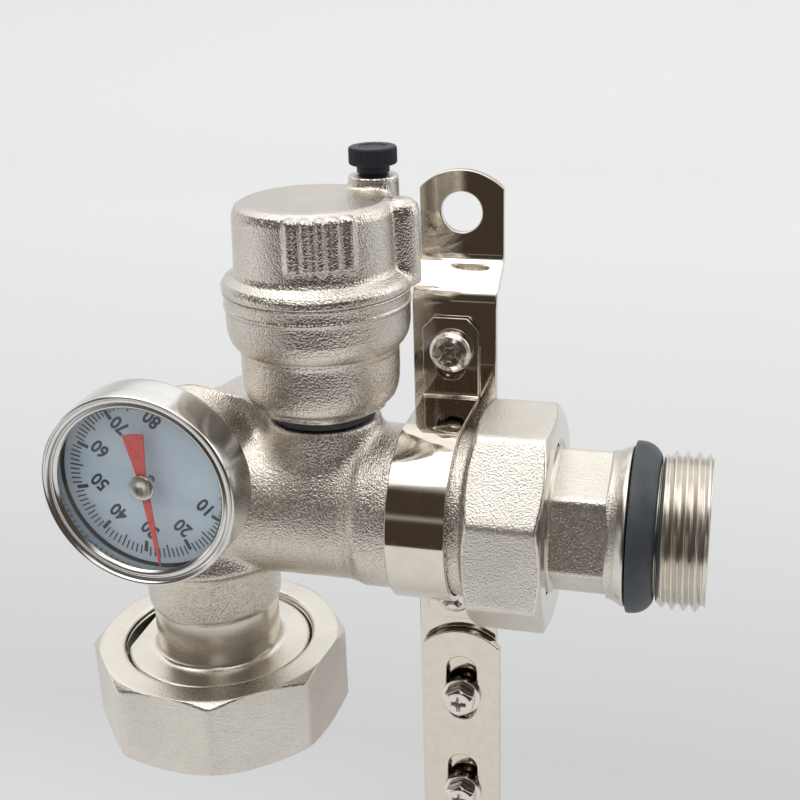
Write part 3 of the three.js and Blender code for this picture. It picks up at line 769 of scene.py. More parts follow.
# ------------------------------------------------------------------ thermometer
at_th = (TH[0], 0, TH[1])
lathe("case_skin", [(2.7, -25.7), (20.2, -25.7), (20.1, -27.6), (19.35, -31.9), (19.3, -32.6), (18.7, -32.6), (19.5, -27.6), (19.5, -26.5), (2.7, -26.5)], "Y", at_th, M_STEEL, "fixed", "steel_case", ("thermo_case",), segs=160, rad=0.12)
bez = [(20.55, -25.9), (20.9, -25.72), (21.17, -26.0), (21.2, -26.9), (21.17, -28.3), (21.05, -31.9), (20.95, -34.3), (20.85, -34.85), (20.6, -35.15), (20.35, -35.18), (20.15, -35.05), (19.95, -34.7), (19.6, -34.5), (19.1, -34.45), (18.75, -34.6), (18.45, -34.62), (18.2, -34.45), (17.78, -33.95), (17.76, -33.75), (18.0, -33.7), (19.35, -33.7), (19.75, -32), (20.5, -27.6)]
lathe("bezel_skin", bez, "Y", at_th, M_STEEL, "fixed", "steel_case", ("thermo_bezel",), segs=200, rad=0.14, n=3)
lathe("glass_skin", [(0, -33.35), (18.8, -33.35), (18.9, -33.25), (18.9, -32.95), (18.8, -32.85), (0, -32.85)], "Y", at_th, M_GLASS, "fixed", "glass", ("thermo_glass",), segs=128, rad=0.05)
lathe("dial_plate", [(0.72, -27.84), (18.9, -27.84), (18.9, -27.3), (0.72, -27.3)], "Y", at_th, M_DIAL, "fixed", "dial", ("thermo_dial",), segs=128, rad=0.05)

UP = -134.35  # where the dial's own 'up' points, degrees from +X towards +Z


def dial_to_frame(u, v):
    """Dial's own right and up (mm) to working-frame x and z."""
    a = UP * D2R
    ux, uz = math.cos(a), math.sin(a)
    rx, rz = uz, -ux
    return TH[0] + u * rx + v * ux, TH[1] + u * rz + v * uz


def dial_marks():
    verts, faces = [], []
    y0, y1 = -27.95, -27.80

    def bar(ang, r0, r1, w):
        a = ang * D2R
        c, s = math.cos(a), math.sin(a)
        b = len(verts)
        for r in (r0, r1):
            for e in (-w / 2, w / 2):
                for y in (y0, y1):
                    verts.append((TH[0] + r * c - e * s, y, TH[1] + r * s + e * c))
        for f in ((0, 1, 3, 2), (4, 6, 7, 5), (0, 4, 5, 1), (2, 3, 7, 6), (0, 2, 6, 4), (1, 5, 7, 3)):
            faces.append([b + i for i in f])

    for T in range(0, 81):
        a = -64.55 - 3.49 * (T - 20)
        if T % 10 == 0:
            bar(a, 14.3, 16.7, 0.72)
        elif T % 5 == 0:
            bar(a, 14.7, 17.5, 0.27)
        else:
            bar(a, 15.5, 17.5, 0.25)
    put("dial_ticks", np.array(verts), faces, M_INK, "fixed", "dial", (), smooth=False)


dial_marks()


def dial_text(name, body, u, v, size, bold=0.026):
    cu = bpy.data.curves.new(name + "_c", "FONT")
    cu.body = body
    cu.size = size
    cu.align_x = "CENTER"
    cu.align_y = "CENTER"
    cu.extrude = 0.06
    cu.offset = bold * size
    cu.resolution_u = 3
    tmp = bpy.data.objects.new(name + "_t", cu)
    scene.collection.objects.link(tmp)
    bpy.context.view_layer.update()
    me = bpy.data.meshes.new_from_object(tmp)
    bpy.data.objects.remove(tmp)
    co = np.empty(len(me.vertices) * 3)
    me.vertices.foreach_get("co", co)
    co = co.reshape(-1, 3)
    out = np.empty_like(co)
    for i, (a, b, c) in enumerate(co):
        x, z = dial_to_frame(u + a * 0.80, v + b)
        out[i] = mm((x + 0.75, -27.88 - c, z + 0.75))
    me.vertices.foreach_set("co", out.astype(np.float32).ravel())
    me.materials.clear()
    me.materials.append(M_INK)
    me.update()
    ob = bpy.data.objects.new(name, me)
    scene.collection.objects.link(ob)
    finish_piece(ob, "fixed", "dial", ())


for T in range(10, 90, 10):
    a = -64.55 - 3.49 * (T - 20)
    rel = (a - UP + 90) * D2R
    dial_text("dial_num_%02d" % T, str(T), 12.2 * math.cos(rel), 12.2 * math.sin(rel), 4.3)
dial_text("dial_unit", "°C", -0.2, 4.2, 2.4)


def pointer():
    a0 = -84 * D2R
    tip = (math.cos(a0), math.sin(a0))
    nrm = (-tip[1], tip[0])
    pts = [(-0.95, 1.5), (-0.75, 6), (-0.42, 14), (-0.12, 18.0), (0.12, 18.0), (0.42, 14), (0.75, 6), (0.95, 1.5), (1.05, -2.4), (1.4, -5), (1.95, -8.4), (2.3, -11.0)]
    arc = [(2.3 - 4.6 * k / 8, -11.0 - 0.22 * (1 - ((k - 4) / 4) ** 2)) for k in range(1, 9)]
    pts = pts + arc + [(-1.95, -8.4), (-1.4, -5), (-1.05, -2.4)]
    n = len(pts)
    verts = []
    for y, ins in ((-31.1, 0.0), (-31.38, 0.0), (-31.45, 0.06)):
        for u, v in pts:
            k = 1 - ins / 2.0 if abs(u) > 0.3 else 1
            uu = u * k
            verts.append((TH[0] + v * tip[0] + uu * nrm[0], y, TH[1] + v * tip[1] + uu * nrm[1]))
    faces = [list(range(n))[::-1], list(range(2 * n, 3 * n))]
    for L in (0, 1):
        for i in range(n):
            j = (i + 1) % n
            faces.append([L * n + i, L * n + j, (L + 1) * n + j, (L + 1) * n + i])
    put("pointer_blade", np.array(verts), faces, M_RED, "pointer", "pointer", ("thermo_pointer",), True, 30)


pointer()
lathe("pointer_hub", [(0, -32.25), (0.3, -32.25), (0.42, -32.58), (2.5, -32.58), (2.72, -32.4), (2.72, -31.78), (0.6, -31.76), (0.6, -4), (0, -4)], "Y", at_th, M_SCREW, "pointer", "pin_steel", ("thermo_hub",), segs=64, rad=0.08)

# ------------------------------------------------------------------ union nuts


def nut(name, prof, axis, at, ring_r, mat, face_mat, body, slot, node, pick):
    def mod(r, h, t):
        lim = ring_r(t)
        return np.where(r > lim - 1.2, smin(r, lim, 0.22), r)

    ob = lathe(name, prof, axis, at, mat, body, slot, (node,), segs=384, rad=0.28, rmod=mod, dens=0.7, n=3)
    second_mat(ob, face_mat, pick)
    return ob


BT, BB = -37.4, -57.0
nut(
    "pump_nut_skin",
    [(23.2, BB), (27.9, BB), (30.2, BB + 1.5), (30.2, BT - 1.4), (28.0, BT), (22.6, BT), (22.15, BT - 0.5), (22.15, BT - 1.3), (21.85, BT - 1.6), (21.8, -39.6), (22.9, -39.7), (22.9, -56)],
    "Z", (NECK[0], NECK[1], 0), pnorm_poly(8, 30.0 * math.cos(22.5 * D2R) + 0.12, 17.1, 75), M_NUT, M_FACE, "pump_nut", "nut_nickel", "bottom_union_nut",
    lambda c, n: (np.abs(n[:, 2]) > 0.3) | (np.hypot(c[:, 0] - NECK[0], c[:, 1] - NECK[1]) < 25.5),
)
NX0, NX1 = 34.7, 51.0
nut(
    "side_nut_skin",
    [(19.9, NX0), (22.6, NX0), (25.2, NX0 + 1.5), (25.2, NX1 - 1.5), (22.4, NX1), (17.3, NX1), (16.5, NX1 - 0.6), (16.1, 50.2), (16.1, 48), (19.3, 47.9), (19.3, NX0 + 1), (19.9, NX0 + 0.4)],
    "X", (0, 0, 0), pnorm_poly(8, 24.95 * math.cos(22.5 * D2R) + 0.1, 25.5, 75), M_NUT, M_TURN_X, "tail_nut", "nut_nickel", "side_union_nut",
    lambda c, n: (np.abs(n[:, 0]) > 0.3) | (np.hypot(c[:, 1], c[:, 2]) < 20.5),
)

# ------------------------------------------------------------------ tailpiece
hexq = pnorm_poly(6, 15.7 * math.cos(30 * D2R) + 0.1, 19, 55)
TX0 = 71.26


def tail_mod(r, h, t):
    w = np.clip((63.4 - h) / 1.1, 0, 1)
    lim = hexq(t) + (1 - w) * 4
    r = np.where((h > 51.2) & (h < 65) & (r > 12.6), smin(r, lim, 0.3), r)
    ph = (h - TX0) / PITCH - t / (2 * np.pi)
    f = np.abs((ph % 1.0) - 0.5) * 2
    cut = 1.45 * np.clip((f - 0.06) / 0.86, 0, 1)
    run = np.clip(1 - (h - 72.9) / 1.6, 0, 1) * 1.3
    cut = np.maximum(cut, np.minimum(run, 1.45))
    return np.where((h > 72.8) & (h < 82.75) & (r > 15.1), np.maximum(r - cut, np.minimum(r, 15.15)), r)


tail = [
    (11.5, 45), (18.7, 45), (18.7, 47.6), (15.6, 47.75), (15.6, 51.6), (15.75, 52.2), (15.8, 62.4), (15.6, 63.2), (15.9, 64.0), (16.75, 65.5), (16.95, 66.0), (16.95, 66.4), (16.8, 66.58), (13.9, 66.6),
    (13.9, 72.75), (15.1, 72.8), (16.62, 72.85), (16.62, 81.9), (15.5, 82.9), (12.3, 82.9), (11.5, 82.2),
]
tl = lathe("tail_skin", tail, "X", (0, 0, 0), M_TAIL, "tail", "tail_nickel", ("tailpiece",), segs=240, rad=0.2, rmod=tail_mod, dens=0.13, n=2)
second_mat(tl, M_TURN_X, lambda c, n: (c[:, 0] > 64.6) | (c[:, 0] < 51))
lathe("tail_seal_skin", [(14.2, 66.9), (17.85, 66.9), (18.08, 67.12), (18.1, 68.0), (17.98, 69.0), (17.6, 70.1), (17.0, 71.0), (16.2, 71.75), (15.4, 72.25), (14.2, 72.4)], "X", (0, 0, 0), M_RUB, "tail", "black_rubber", ("tail_oring",), segs=160, rad=0.5, n=4, dens=0.5)

# ------------------------------------------------------------------ bent strips


def path_of(corners, rads, step=0.35):
    """A filleted polyline in the (Y, Z) plane as points, with arc length."""
    P = [np.array(c, float) for c in corners]
    pts = [P[0]]
    for i in range(1, len(P) - 1):
        a, b, c = P[i - 1], P[i], P[i + 1]
        u, w = (a - b) / np.linalg.norm(a - b), (c - b) / np.linalg.norm(c - b)
        ang = math.acos(float(np.clip(u @ w, -1, 1)))
        r = rads[i - 1]
        if r <= 0:
            pts.append(b)
            continue
        d = r / math.tan(ang / 2)
        ctr = b + (u + w) / np.linalg.norm(u + w) * (r / math.sin(ang / 2))
        s0, s1 = b + u * d, b + w * d
        a0 = math.atan2(*(s0 - ctr)[::-1])
        a1 = math.atan2(*(s1 - ctr)[::-1])
        da = (a1 - a0 + math.pi) % (2 * math.pi) - math.pi
        k = max(3, int(abs(da) * r / step))
        for j in range(k + 1):
            t = a0 + da * j / k
            pts.append(ctr + r * np.array([math.cos(t), math.sin(t)]))
    pts.append(P[-1])
    pts = np.array(pts)
    s = np.concatenate([[0], np.cumsum(np.linalg.norm(np.diff(pts, axis=0), axis=1))])
    return pts, s


def offset_loop(L, d):
    L = np.asarray(L, float)
    a, c = np.roll(L, 1, 0), np.roll(L, -1, 0)
    u = L - a
    w = c - L
    u /= np.linalg.norm(u, axis=1)[:, None]
    w /= np.linalg.norm(w, axis=1)[:, None]
    nu = np.stack([-u[:, 1], u[:, 0]], 1)
    nw = np.stack([-w[:, 1], w[:, 0]], 1)
    m = nu + nw
    m /= np.maximum((m * m).sum(1), 1e-6)[:, None] / 2
    return L + m * d


from mathutils.geometry import delaunay_2d_cdt


def inside(P, loop):
    x, y = P[:, 0], P[:, 1]
    r = np.zeros(len(P), bool)
    n = len(loop)
    for i in range(n):
        x0, y0 = loop[i]
        x1, y1 = loop[i - 1]
        if y0 == y1:
            continue
        c = (y0 > y) != (y1 > y)
        r ^= c & (x < (x1 - x0) * (y - y0) / (y1 - y0) + x0)
    return r


def bent_sheet(name, outer, holes, T, path, cuts, mat, body, slot, node, bevel=0.28, xc=0.0, side=1):
    """outer and holes are loops of (x, s): across, and along the centre line."""
    loops = []
    for k, L in enumerate([outer] + holes):
        L = np.asarray(L, float)
        area = 0.5 * np.sum(L[:, 0] * np.roll(L[:, 1], -1) - np.roll(L[:, 0], -1) * L[:, 1])
        if (area < 0) == (k == 0):
            L = L[::-1]
        loops.append(L)
    prof = []
    nb = 3
    for j in range(nb + 1):
        a = j / nb * math.pi / 2
        prof.append((bevel * (1 - math.sin(a)), T / 2 - bevel * (1 - math.cos(a))))
    prof = prof + [(d, -t) for d, t in prof[::-1]]
    bm = bmesh.new()
    for L in loops:
        rings = []
        for d, t in prof:
            O = offset_loop(L, d)
            rings.append([bm.verts.new((p[0], p[1], t)) for p in O])
        n = len(L)
        for q in range(len(rings) - 1):
            for i in range(n):
                j = (i + 1) % n
                bm.faces.new((rings[q][i], rings[q + 1][i], rings[q + 1][j], rings[q][j]))
        L_top, L_bot = rings[0], rings[-1]
        loops_top = [v.co.copy() for v in L_top]
        bm.verts.index_update()
        if "tops" not in locals():
            tops, bots = [], []
        tops.append(L_top)
        bots.append(L_bot)
    for rings2 in (tops, bots):
        co, ed, vs = [], [], []
        for R in rings2:
            b = len(co)
            for i, v in enumerate(R):
                co.append(Vector((v.co.x, v.co.y)))
                vs.append(v)
                ed.append((b + i, b + (i + 1) % len(R)))
        res = delaunay_2d_cdt(co, ed, [], 0, 1e-7)
        ov, of, orig = res[0], res[2], res[3]
        loops2 = [[(v.co.x, v.co.y) for v in R] for R in rings2]
        cen = np.array([[sum(ov[i].x for i in f) / len(f), sum(ov[i].y for i in f) / len(f)] for f in of])
        ok = inside(cen, loops2[0])
        for Lh in loops2[1:]:
            ok &= ~inside(cen, Lh)
        for f, g in zip(of, ok):
            if not g:
                continue
            tri = [vs[orig[i][0]] for i in f]
            try:
                bm.faces.new(tri)
            except ValueError:
                pass
    bmesh.ops.recalc_face_normals(bm, faces=bm.faces)
    # merge the flat triangles back into few faces before cutting
    bmesh.ops.dissolve_limit(bm, angle_limit=0.001, verts=bm.verts, edges=bm.edges, delimit=set())
    for sc in cuts:
        geom = bm.verts[:] + bm.edges[:] + bm.faces[:]
        bmesh.ops.bisect_plane(bm, geom=geom, plane_co=(0, sc, 0), plane_no=(0, 1, 0), dist=1e-5)
    pts, ss = path
    tang = np.gradient(pts, ss, axis=0)
    tang /= np.linalg.norm(tang, axis=1)[:, None]
    for v in bm.verts:
        s = v.co.y
        i = int(np.clip(np.searchsorted(ss, s) - 1, 0, len(ss) - 2))
        f = (s - ss[i]) / (ss[i + 1] - ss[i])
        p = pts[i] * (1 - f) + pts[i + 1] * f
        tg = tang[i] * (1 - f) + tang[i + 1] * f
        tg = tg / np.linalg.norm(tg)
        nn = np.array([-tg[1], tg[0]]) * side
        q = p + nn * v.co.z
        v.co = Vector(mm((xc + v.co.x, q[0], q[1])))
    bmesh.ops.recalc_face_normals(bm, faces=bm.faces)
    me = bpy.data.meshes.new(name)
    bm.to_mesh(me)
    bm.free()
    me.materials.append(mat)
    me.shade_smooth()
    ob = bpy.data.objects.new(name, me)
    scene.collection.objects.link(ob)
    md = ob.modifiers.new("wn", "WEIGHTED_NORMAL")
    md.mode = "FACE_AREA"
    md.weight = 60
    finish_piece(ob, body, slot, (node,))
    return ob


def circ(x, s, r, n=48):
    return [(x + r * math.cos(2 * math.pi * i / n), s + r * math.sin(2 * math.pi * i / n)) for i in range(n)]


def slot_loop(x, s0, s1, r, n=16):
    a = [(x + r * math.cos(math.pi * i / n), s1 - r + r * math.sin(math.pi * i / n)) for i in range(n + 1)]
    b = [(x - r * math.cos(math.pi * i / n), s0 + r - r * math.sin(math.pi * i / n)) for i in range(n + 1)]
    return a + b


def bend_cuts(path, extra=()):
    """Arc lengths where the path turns, for cutting the sheet across."""
    pts, ss = path
    out = []
    for i in range(1, len(ss) - 1):
        a, b = pts[i] - pts[i - 1], pts[i + 1] - pts[i]
        c = (a @ b) / (np.linalg.norm(a) * np.linalg.norm(b))
        if c < 0.99999:
            out.append(float(ss[i]))
    return out + list(extra)


# upper strip: foot, jog, long plate. s runs down from the top.
p_up = path_of([(29, 68.7), (29, 48.15), (20, 42.55), (20, -106)], [3.9, 3.9])


def s_at(path, z, after=0.0):
    pts, ss = path
    z_ = pts[:, 1]
    for i in range(len(z_) - 1):
        if (z_[i] - z) * (z_[i + 1] - z) <= 0 and ss[i + 1] >= after:
            f = (z - z_[i]) / (z_[i + 1] - z_[i]) if z_[i + 1] != z_[i] else 0
            return ss[i] + f * (ss[i + 1] - ss[i])
    return ss[-1]


def arc_end(half, sag, s0, up=True, n=22):
    R = (half * half + sag * sag) / (2 * sag)
    out = []
    a = math.asin(half / R)
    for i in range(n + 1):
        t = -a + 2 * a * i / n
        d = R - R * math.cos(t)
        out.append((R * math.sin(t), s0 + d if up else s0 - d))
    return out


W2 = 9.5
L_up = p_up[1][-1]
outer = arc_end(W2, 4.1, 0.0, True) + [(W2, L_up), (-W2, L_up)]
holes = [circ(0, s_at(p_up, 59.2), 4.6, 56)]
for z in (30.6, -30.6):
    holes.append(circ(-0.3, s_at(p_up, z, 25), 2.75, 28))
for z in (-59.2, -88.0):
    holes.append(circ(1.2, s_at(p_up, z, 25), 2.35, 28))
bent_sheet("strip_upper_skin", outer, holes, 2.0, p_up, bend_cuts(p_up), M_PLATE, "fixed", "bright_plate", "bracket_upper", 0.3, BRX)

p_lo = path_of([(17.7, -41.2), (17.7, -119.35), (29, -133.2), (29, -153.5)], [3.9, 3.9])
L_lo = p_lo[1][-1]
outer = arc_end(W2, 4.1, 0.0, True) + [(x, s) for x, s in arc_end(W2, 4.1, L_lo, False)[::-1]]
holes = [slot_loop(0, s_at(p_lo, z + 10.8), s_at(p_lo, z - 7.1), 3.7) for z in (-59.2, -88.0)] + [circ(0, s_at(p_lo, -144, 60), 4.6, 56)]
bent_sheet("strip_lower_skin", outer, holes, 2.0, p_lo, bend_cuts(p_lo), M_PLATE, "lower_strip", "bright_plate", "bracket_lower", 0.3, LX)

# clamp strap: tab, leg, half ring, leg, tab
RM = 18.98


def strap_path():
    pts = []
    c = 1.5
    ty = 18.05
    pts.append((ty, 38.0))
    for j in range(7):
        a = j / 6 * math.pi / 2
        pts.append((ty - c + c * math.cos(a), RM + c - c * math.sin(a)))
    n = 64
    for j in range(n + 1):
        a = (90 + 180 * j / n) * D2R
        pts.append((RM * math.cos(a), RM * math.sin(a)))
    for j in range(7):
        a = j / 6 * math.pi / 2
        pts.append((ty - c + c * math.sin(a), -RM - c + c * math.cos(a)))
    pts.append((ty, -38.0))
    pts = np.array(pts)
    s = np.concatenate([[0], np.cumsum(np.linalg.norm(np.diff(pts, axis=0), axis=1))])
    return pts, s


p_st = strap_path()
L_st = p_st[1][-1]
h2 = 6.3
outer = [(-h2, 2.6), (-h2 + 2.5, 0), (h2 - 2.5, 0), (h2, 2.6), (h2, L_st - 2.6), (h2 - 2.5, L_st), (-h2 + 2.5, L_st), (-h2, L_st - 2.6)]
holes = [slot_loop(0, 38 - 33.8, 38 - 23.4, 3.3), slot_loop(0, L_st - (38 - 23.4), L_st - (38 - 33.8), 3.3)]
bent_sheet("strap_skin", outer, holes, 1.25, p_st, bend_cuts(p_st), M_PLATE, "fixed", "bright_plate", "clamp_strap", 0.22, 24.4)

# ------------------------------------------------------------------ screws


def phillips(G, at, y_face, depth, half, width, rot):
    """Tapered cross recess going in +Y from y_face."""
    X, Y, Z = G
    x, z = X - at[0], Z - at[2]
    ca, sa = math.cos(rot), math.sin(rot)
    u, w = x * ca + z * sa, -x * sa + z * ca
    t = np.clip((Y - y_face) / depth, -1, 1)
    hw = half * (1 - 0.55 * np.clip(t, 0, 1))
    ww = width * (1 - 0.3 * np.clip(t, 0, 1))
    a = np.maximum(np.abs(u) - hw, np.abs(w) - ww)
    b = np.maximum(np.abs(w) - hw, np.abs(u) - ww)
    cone = np.sqrt(u * u + w * w) - half * 0.52 * (1 - 0.6 * np.clip(t, 0, 1))
    d = smin(smin(a, b, 0.25), cone, 0.2)
    return np.maximum(d, (Y - y_face) - depth)


def pan_screw(name, node, z):
    at = (24.7, 0, z)
    lo, h, G = grid((at[0] - 5.3, 13.2, z - 5.3), (at[0] + 5.3, 26.2, z + 5.3), 0.13)
    d = sd_turn(G, "Y", at, [(0, 25.8), (2.3, 25.8), (2.3, 17.1), (4.85, 17.1), (4.85, 16.5), (4.6, 15.6), (3.9, 14.7), (2.9, 14.15), (1.8, 13.95), (0, 13.9)])
    d = smax(d, -phillips(G, at, 13.9, 2.4, 3.05, 0.72, 45 * D2R), 0.12)
    sdf_piece(name, d.astype(np.float32), lo, h, M_SCREW, "fixed", "screw_plate", (node,))


def hex_screw(name, node, z):
    at = (LX, 0, z)
    lf = 16.7
    lo, h, G = grid((LX - 4.5, lf - 4.8, z - 4.5), (LX + 4.5, 26.0, z + 4.5), 0.12)
    X, Y, Z = G
    x, zz = X - at[0], Z - at[2]
    hx = np.full(X.shape, -1e9, np.float32)
    for i in range(6):
        a = (30 + 30 + 60 * i) * D2R
        hx = np.maximum(hx, x * math.cos(a) + zz * math.sin(a))
    ap = 4.0 * math.cos(30 * D2R)
    head = smax(hx - ap, sd_turn(G, "Y", at, [(0, lf - 4.3), (3.0, lf - 4.3), (4.1, lf - 3.5), (4.1, lf - 1.45), (0, lf - 1.45)]), 0.15)
    shank = sd_turn(G, "Y", at, [(0, lf - 3), (2.0, lf - 3), (2.0, 25.6), (0, 25.6)])
    d = np.minimum(head, shank)
    d = smax(d, -phillips(G, at, lf - 4.3, 1.7, 1.95, 0.45, 0.0), 0.1)
    sdf_piece(name, d.astype(np.float32), lo, h, M_SCREW, "fixed", "screw_plate", (node,))


pan_screw("clamp_screw_up_skin", "clamp_screw_upper", 30.6)
pan_screw("clamp_screw_low_skin", "clamp_screw_lower", -30.6)
hex_screw("strip_screw_up_skin", "strip_screw_upper", -59.2)
hex_screw("strip_screw_low_skin", "strip_screw_lower", -88.0)
for nm, z in (("upper", -59.2), ("lower", -88.0)):
    lathe("washer_" + nm, [(2.3, 15.5), (4.8, 15.5), (4.8, 16.45), (2.3, 16.45)], "Y", (LX, 0, z), M_SCREW, "fixed", "screw_plate", ("strip_washer_" + nm,), segs=96, rad=0.2)

# ------------------------------------------------------------------ CAD pieces kept


def dress(node, mat):
    ob = bpy.data.objects.get(node)
    if ob is None:
        return
    ob.data.materials.clear()
    ob.data.materials.append(mat)
    ob.data.shade_smooth()
    ob.data.set_sharp_from_angle(angle=35 * D2R)


dress("lever_pin", M_PIN)


def check_spring():
    """Round wire coil of two and a half turns, from the valve body up to the poppet, left unattached to either."""
    turns, seg, ring, rw, rc = 2.5, 90, 10, 0.28, 4.6
    vs, fs = [], []
    for i in range(seg + 1):
        a = turns * 2 * math.pi * i / seg
        z = 6.92 + (8.83 - 6.92) * i / seg
        for j in range(ring):
            b = 2 * math.pi * j / ring
            r = rc + rw * math.cos(b)
            vs.append((r * math.cos(a), r * math.sin(a), z + rw * math.sin(b)))
    for i in range(seg):
        for j in range(ring):
            k = (j + 1) % ring
            fs.append((i * ring + j, i * ring + k, (i + 1) * ring + k, (i + 1) * ring + j))
    fs.append(tuple(range(ring)))
    fs.append(tuple(seg * ring + j for j in reversed(range(ring))))
    me = bpy.data.meshes.new("check_spring_skin")
    me.from_pydata(mm(vs).tolist(), [], fs)
    me.validate()
    ob = bpy.data.objects.new("check_spring_skin", me)
    scene.collection.objects.link(ob)
    bm = bmesh.new()
    bm.from_mesh(me)
    bmesh.ops.recalc_face_normals(bm, faces=bm.faces)
    bm.to_mesh(me)
    bm.free()
    me.materials.append(M_PIN)
    me.shade_smooth()
    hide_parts("check_spring")
    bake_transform(ob)


check_spring()
for nd in ("thermo_stem", "thermo_coil", "valve_pin", "valve_seat", "float_lever", "check_body", "check_poppet"):
    dress(nd, M_BRASS)
dress("float", M_FLOAT)
for nd in ("vent_lid_oring", "cap_seal", "thermo_gasket", "bottom_gasket", "tail_gasket"):
    dress(nd, M_RUB)
for nd in ("clamp_nut_upper", "clamp_nut_lower", "strip_nut_upper", "strip_nut_lower"):
    dress(nd, M_SCREW)

# ------------------------------------------------------------------ stage


def stage_mat(name, color, rough=0.8):
    m = Mat(name, color, 0.0, rough)
    n = m.noise(3, 2, 0.5)
    m.color(m.ramp(n, [(0.3, tuple(c * 0.99 for c in color)), (0.7, color)]))
    return m.m


def emit_mat(name, color, strength):
    m = bpy.data.materials.new(name)
    m.use_nodes = True
    nt = m.node_tree
    nt.nodes.clear()
    o = nt.nodes.new("ShaderNodeOutputMaterial")
    e = nt.nodes.new("ShaderNodeEmission")
    e.inputs["Color"].default_value = (*color, 1)
    e.inputs["Strength"].default_value = strength
    nt.links.new(e.outputs[0], o.inputs["Surface"])
    return m


def stage_obj(name, verts, faces, mat, camera=True):
    me = bpy.data.meshes.new(name)
    me.from_pydata([tuple(v) for v in verts], [], faces)
    me.materials.append(mat)
    ob = bpy.data.objects.new(name, me)
    scene.collection.objects.link(ob)
    ob.visible_camera = camera
    ob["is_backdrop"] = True
    return ob


# floor and sweep, one swept surface well behind and below the part
zf = -0.2150
prof = [(-0.38 + 0.06 * k, zf) for k in range(27)]
y1 = prof[-1][0]
R = 0.6
for j in range(1, 17):
    a = j / 16 * math.pi / 2
    prof.append((y1 + R * math.sin(a), zf + R - R * math.cos(a)))
prof.append((y1 + R, 0.75))
nv = len(prof)
vv = [(-4, y, z) for y, z in prof] + [(4, y, z) for y, z in prof]
ff = [[i, i + 1, nv + i + 1, nv + i] for i in range(nv - 1)]


def sweep_mat():
    m = Mat("sweep_paper_painted_falloff", (0.7, 0.7, 0.7), 0.0, 0.85)
    m.b.inputs["Specular IOR Level"].default_value = 0.2
    sep = m.nt.nodes.new("ShaderNodeSeparateXYZ")
    m.link(m.tc.outputs["Object"], sep.inputs[0])
    # painted light: the albedo ramp along Y keeps the floor lighter in front, darkens a band just behind the part and
    # lightens the sweep up the wall, standing in for how light falls across it
    t = m.maprange(sep.outputs["Y"], -0.1, 1.9, 0.0, 1.0)
    m.color(m.ramp(t, [(0.0, (0.60, 0.60, 0.595)), (0.10, (0.42, 0.423, 0.428)), (0.22, (0.515, 0.517, 0.521)), (0.5, (0.65, 0.651, 0.653)), (1.0, (0.75, 0.75, 0.75))]))
    n = m.noise(900, 2, 0.5)
    m.bump(n, 0.0001, 0.05)
    return m.m


fl = stage_obj("sweep", vv, ff, sweep_mat())
fl.data.shade_smooth()


# painted dark reflection: a faint dark brown glow, seen only in reflections, standing in for shade round the part
def dark_mat():
    m = bpy.data.materials.new("painted_dark_reflection_card")
    m.use_nodes = True
    nt = m.node_tree
    nt.nodes.clear()
    o = nt.nodes.new("ShaderNodeOutputMaterial")
    e = nt.nodes.new("ShaderNodeEmission")
    e.inputs["Color"].default_value = (0.062, 0.047, 0.034, 1)
    t = nt.nodes.new("ShaderNodeBsdfTransparent")
    mx = nt.nodes.new("ShaderNodeMixShader")
    at = nt.nodes.new("ShaderNodeAttribute")
    at.attribute_name = "fade"
    nt.links.new(at.outputs["Fac"], mx.inputs[0])
    nt.links.new(t.outputs[0], mx.inputs[1])
    nt.links.new(e.outputs[0], mx.inputs[2])
    nt.links.new(mx.outputs[0], o.inputs["Surface"])
    return m


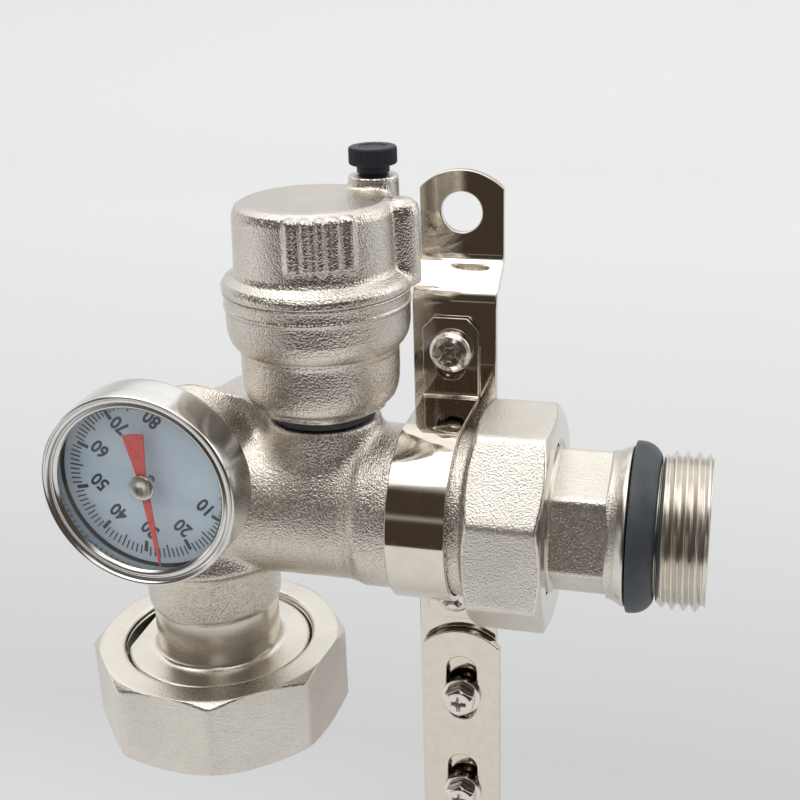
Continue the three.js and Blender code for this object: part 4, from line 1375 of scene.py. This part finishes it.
def card(name, az0, az1, el0, el1, dist, mat, soft_az=14.0, soft_top=9.0, n=104, m=61):
    """Part of a sphere round the part, az from -Y towards +X, fading at its edges; a dark glowing sheet that only
    reflections see, painting dark reflections into the metal.
    """
    vs, fs, fade = [], [], []
    for i in range(n + 1):
        for j in range(m + 1):
            a = -104 + (az1 + 104) * i / n
            k = min(1.0, max(0.0, (a + 12) / 50))
            k = k * k * (3 - 2 * k)
            top = el1 + (58 - el1) * k
            e = el0 + (62 - el0) * j / m
            f = min(1, (a - az0) / soft_az, (az1 - a) / soft_az, (top - e) / (soft_top + 8 * k))
            if a < 10:
                f = max(f, min(1, (a + 104) / 18, (e - 4) / 12, (58 - e) / 18, (10 - a) / 12))
            f = max(0.0, f)
            fade.append(f * f * (3 - 2 * f))
            az, el = a * D2R, e * D2R
            vs.append((dist * math.cos(el) * math.sin(az), -dist * math.cos(el) * math.cos(az), -0.05 + dist * math.sin(el)))
    for i in range(n):
        for j in range(m):
            a = i * (m + 1) + j
            fs.append([a, a + 1, a + m + 2, a + m + 1])
    ob = stage_obj(name, vs, fs, mat, camera=False)
    at = ob.data.attributes.new("fade", "FLOAT", "POINT")
    at.data.foreach_set("value", fade)
    ob.data.shade_smooth()
    ob.visible_shadow = False
    ob.visible_diffuse = False
    return ob


# painted dark reflection: a dark sheet round the front and sides of the part, hidden from camera, shadows and diffuse
# light
card("painted_dark_reflection_front", -52, 104, -60, 17, 0.72, dark_mat(), 32.0, 12.0)

world = bpy.data.worlds.new("studio")
scene.world = world
world.use_nodes = True
nt = world.node_tree
bg = nt.nodes["Background"]
tcw = nt.nodes.new("ShaderNodeTexCoord")
sepw = nt.nodes.new("ShaderNodeSeparateXYZ")
nt.links.new(tcw.outputs["Generated"], sepw.inputs[0])
rmp = nt.nodes.new("ShaderNodeValToRGB")
mr = nt.nodes.new("ShaderNodeMapRange")
mr.inputs["From Min"].default_value = -0.2
mr.inputs["From Max"].default_value = 1.0
nt.links.new(sepw.outputs["Z"], mr.inputs["Value"])
nt.links.new(mr.outputs[0], rmp.inputs["Fac"])
e = rmp.color_ramp.elements
e[0].position, e[0].color = 0.10, (0.46, 0.46, 0.465, 1)
e[1].position, e[1].color = 0.75, (1.0, 1.0, 1.0, 1)
nt.links.new(rmp.outputs["Color"], bg.inputs["Color"])
bg.inputs["Strength"].default_value = 1.35


def area(name, loc, target, size, radiance, color=(1, 1, 1), sy=None):
    L = bpy.data.lights.new(name, "AREA")
    L.shape = "RECTANGLE"
    L.size = size
    L.size_y = sy or size
    L.energy = radiance * math.pi * size * (sy or size)
    L.color = color
    ob = bpy.data.objects.new(name, L)
    scene.collection.objects.link(ob)
    ob.location = loc
    d = Vector(target) - Vector(loc)
    ob.rotation_euler = d.to_track_quat("-Z", "Y").to_euler()
    ob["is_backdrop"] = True
    return ob


area("key_top", (-0.30, -0.22, 0.85), (0, 0, 0), 0.8, 1.5, (1.0, 0.99, 0.97))
area("left_box", (-0.95, -0.15, 0.25), (0, 0, 0), 0.7, 0.8, (1.0, 0.995, 0.985))
area("right_box", (0.85, 0.35, 0.40), (0, 0, 0), 0.6, 1.2, (0.98, 0.99, 1.0))

scene.view_settings.view_transform = "Standard"
scene.view_settings.look = "None"
scene.view_settings.exposure = 0.0

vis_low, vis_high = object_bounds()
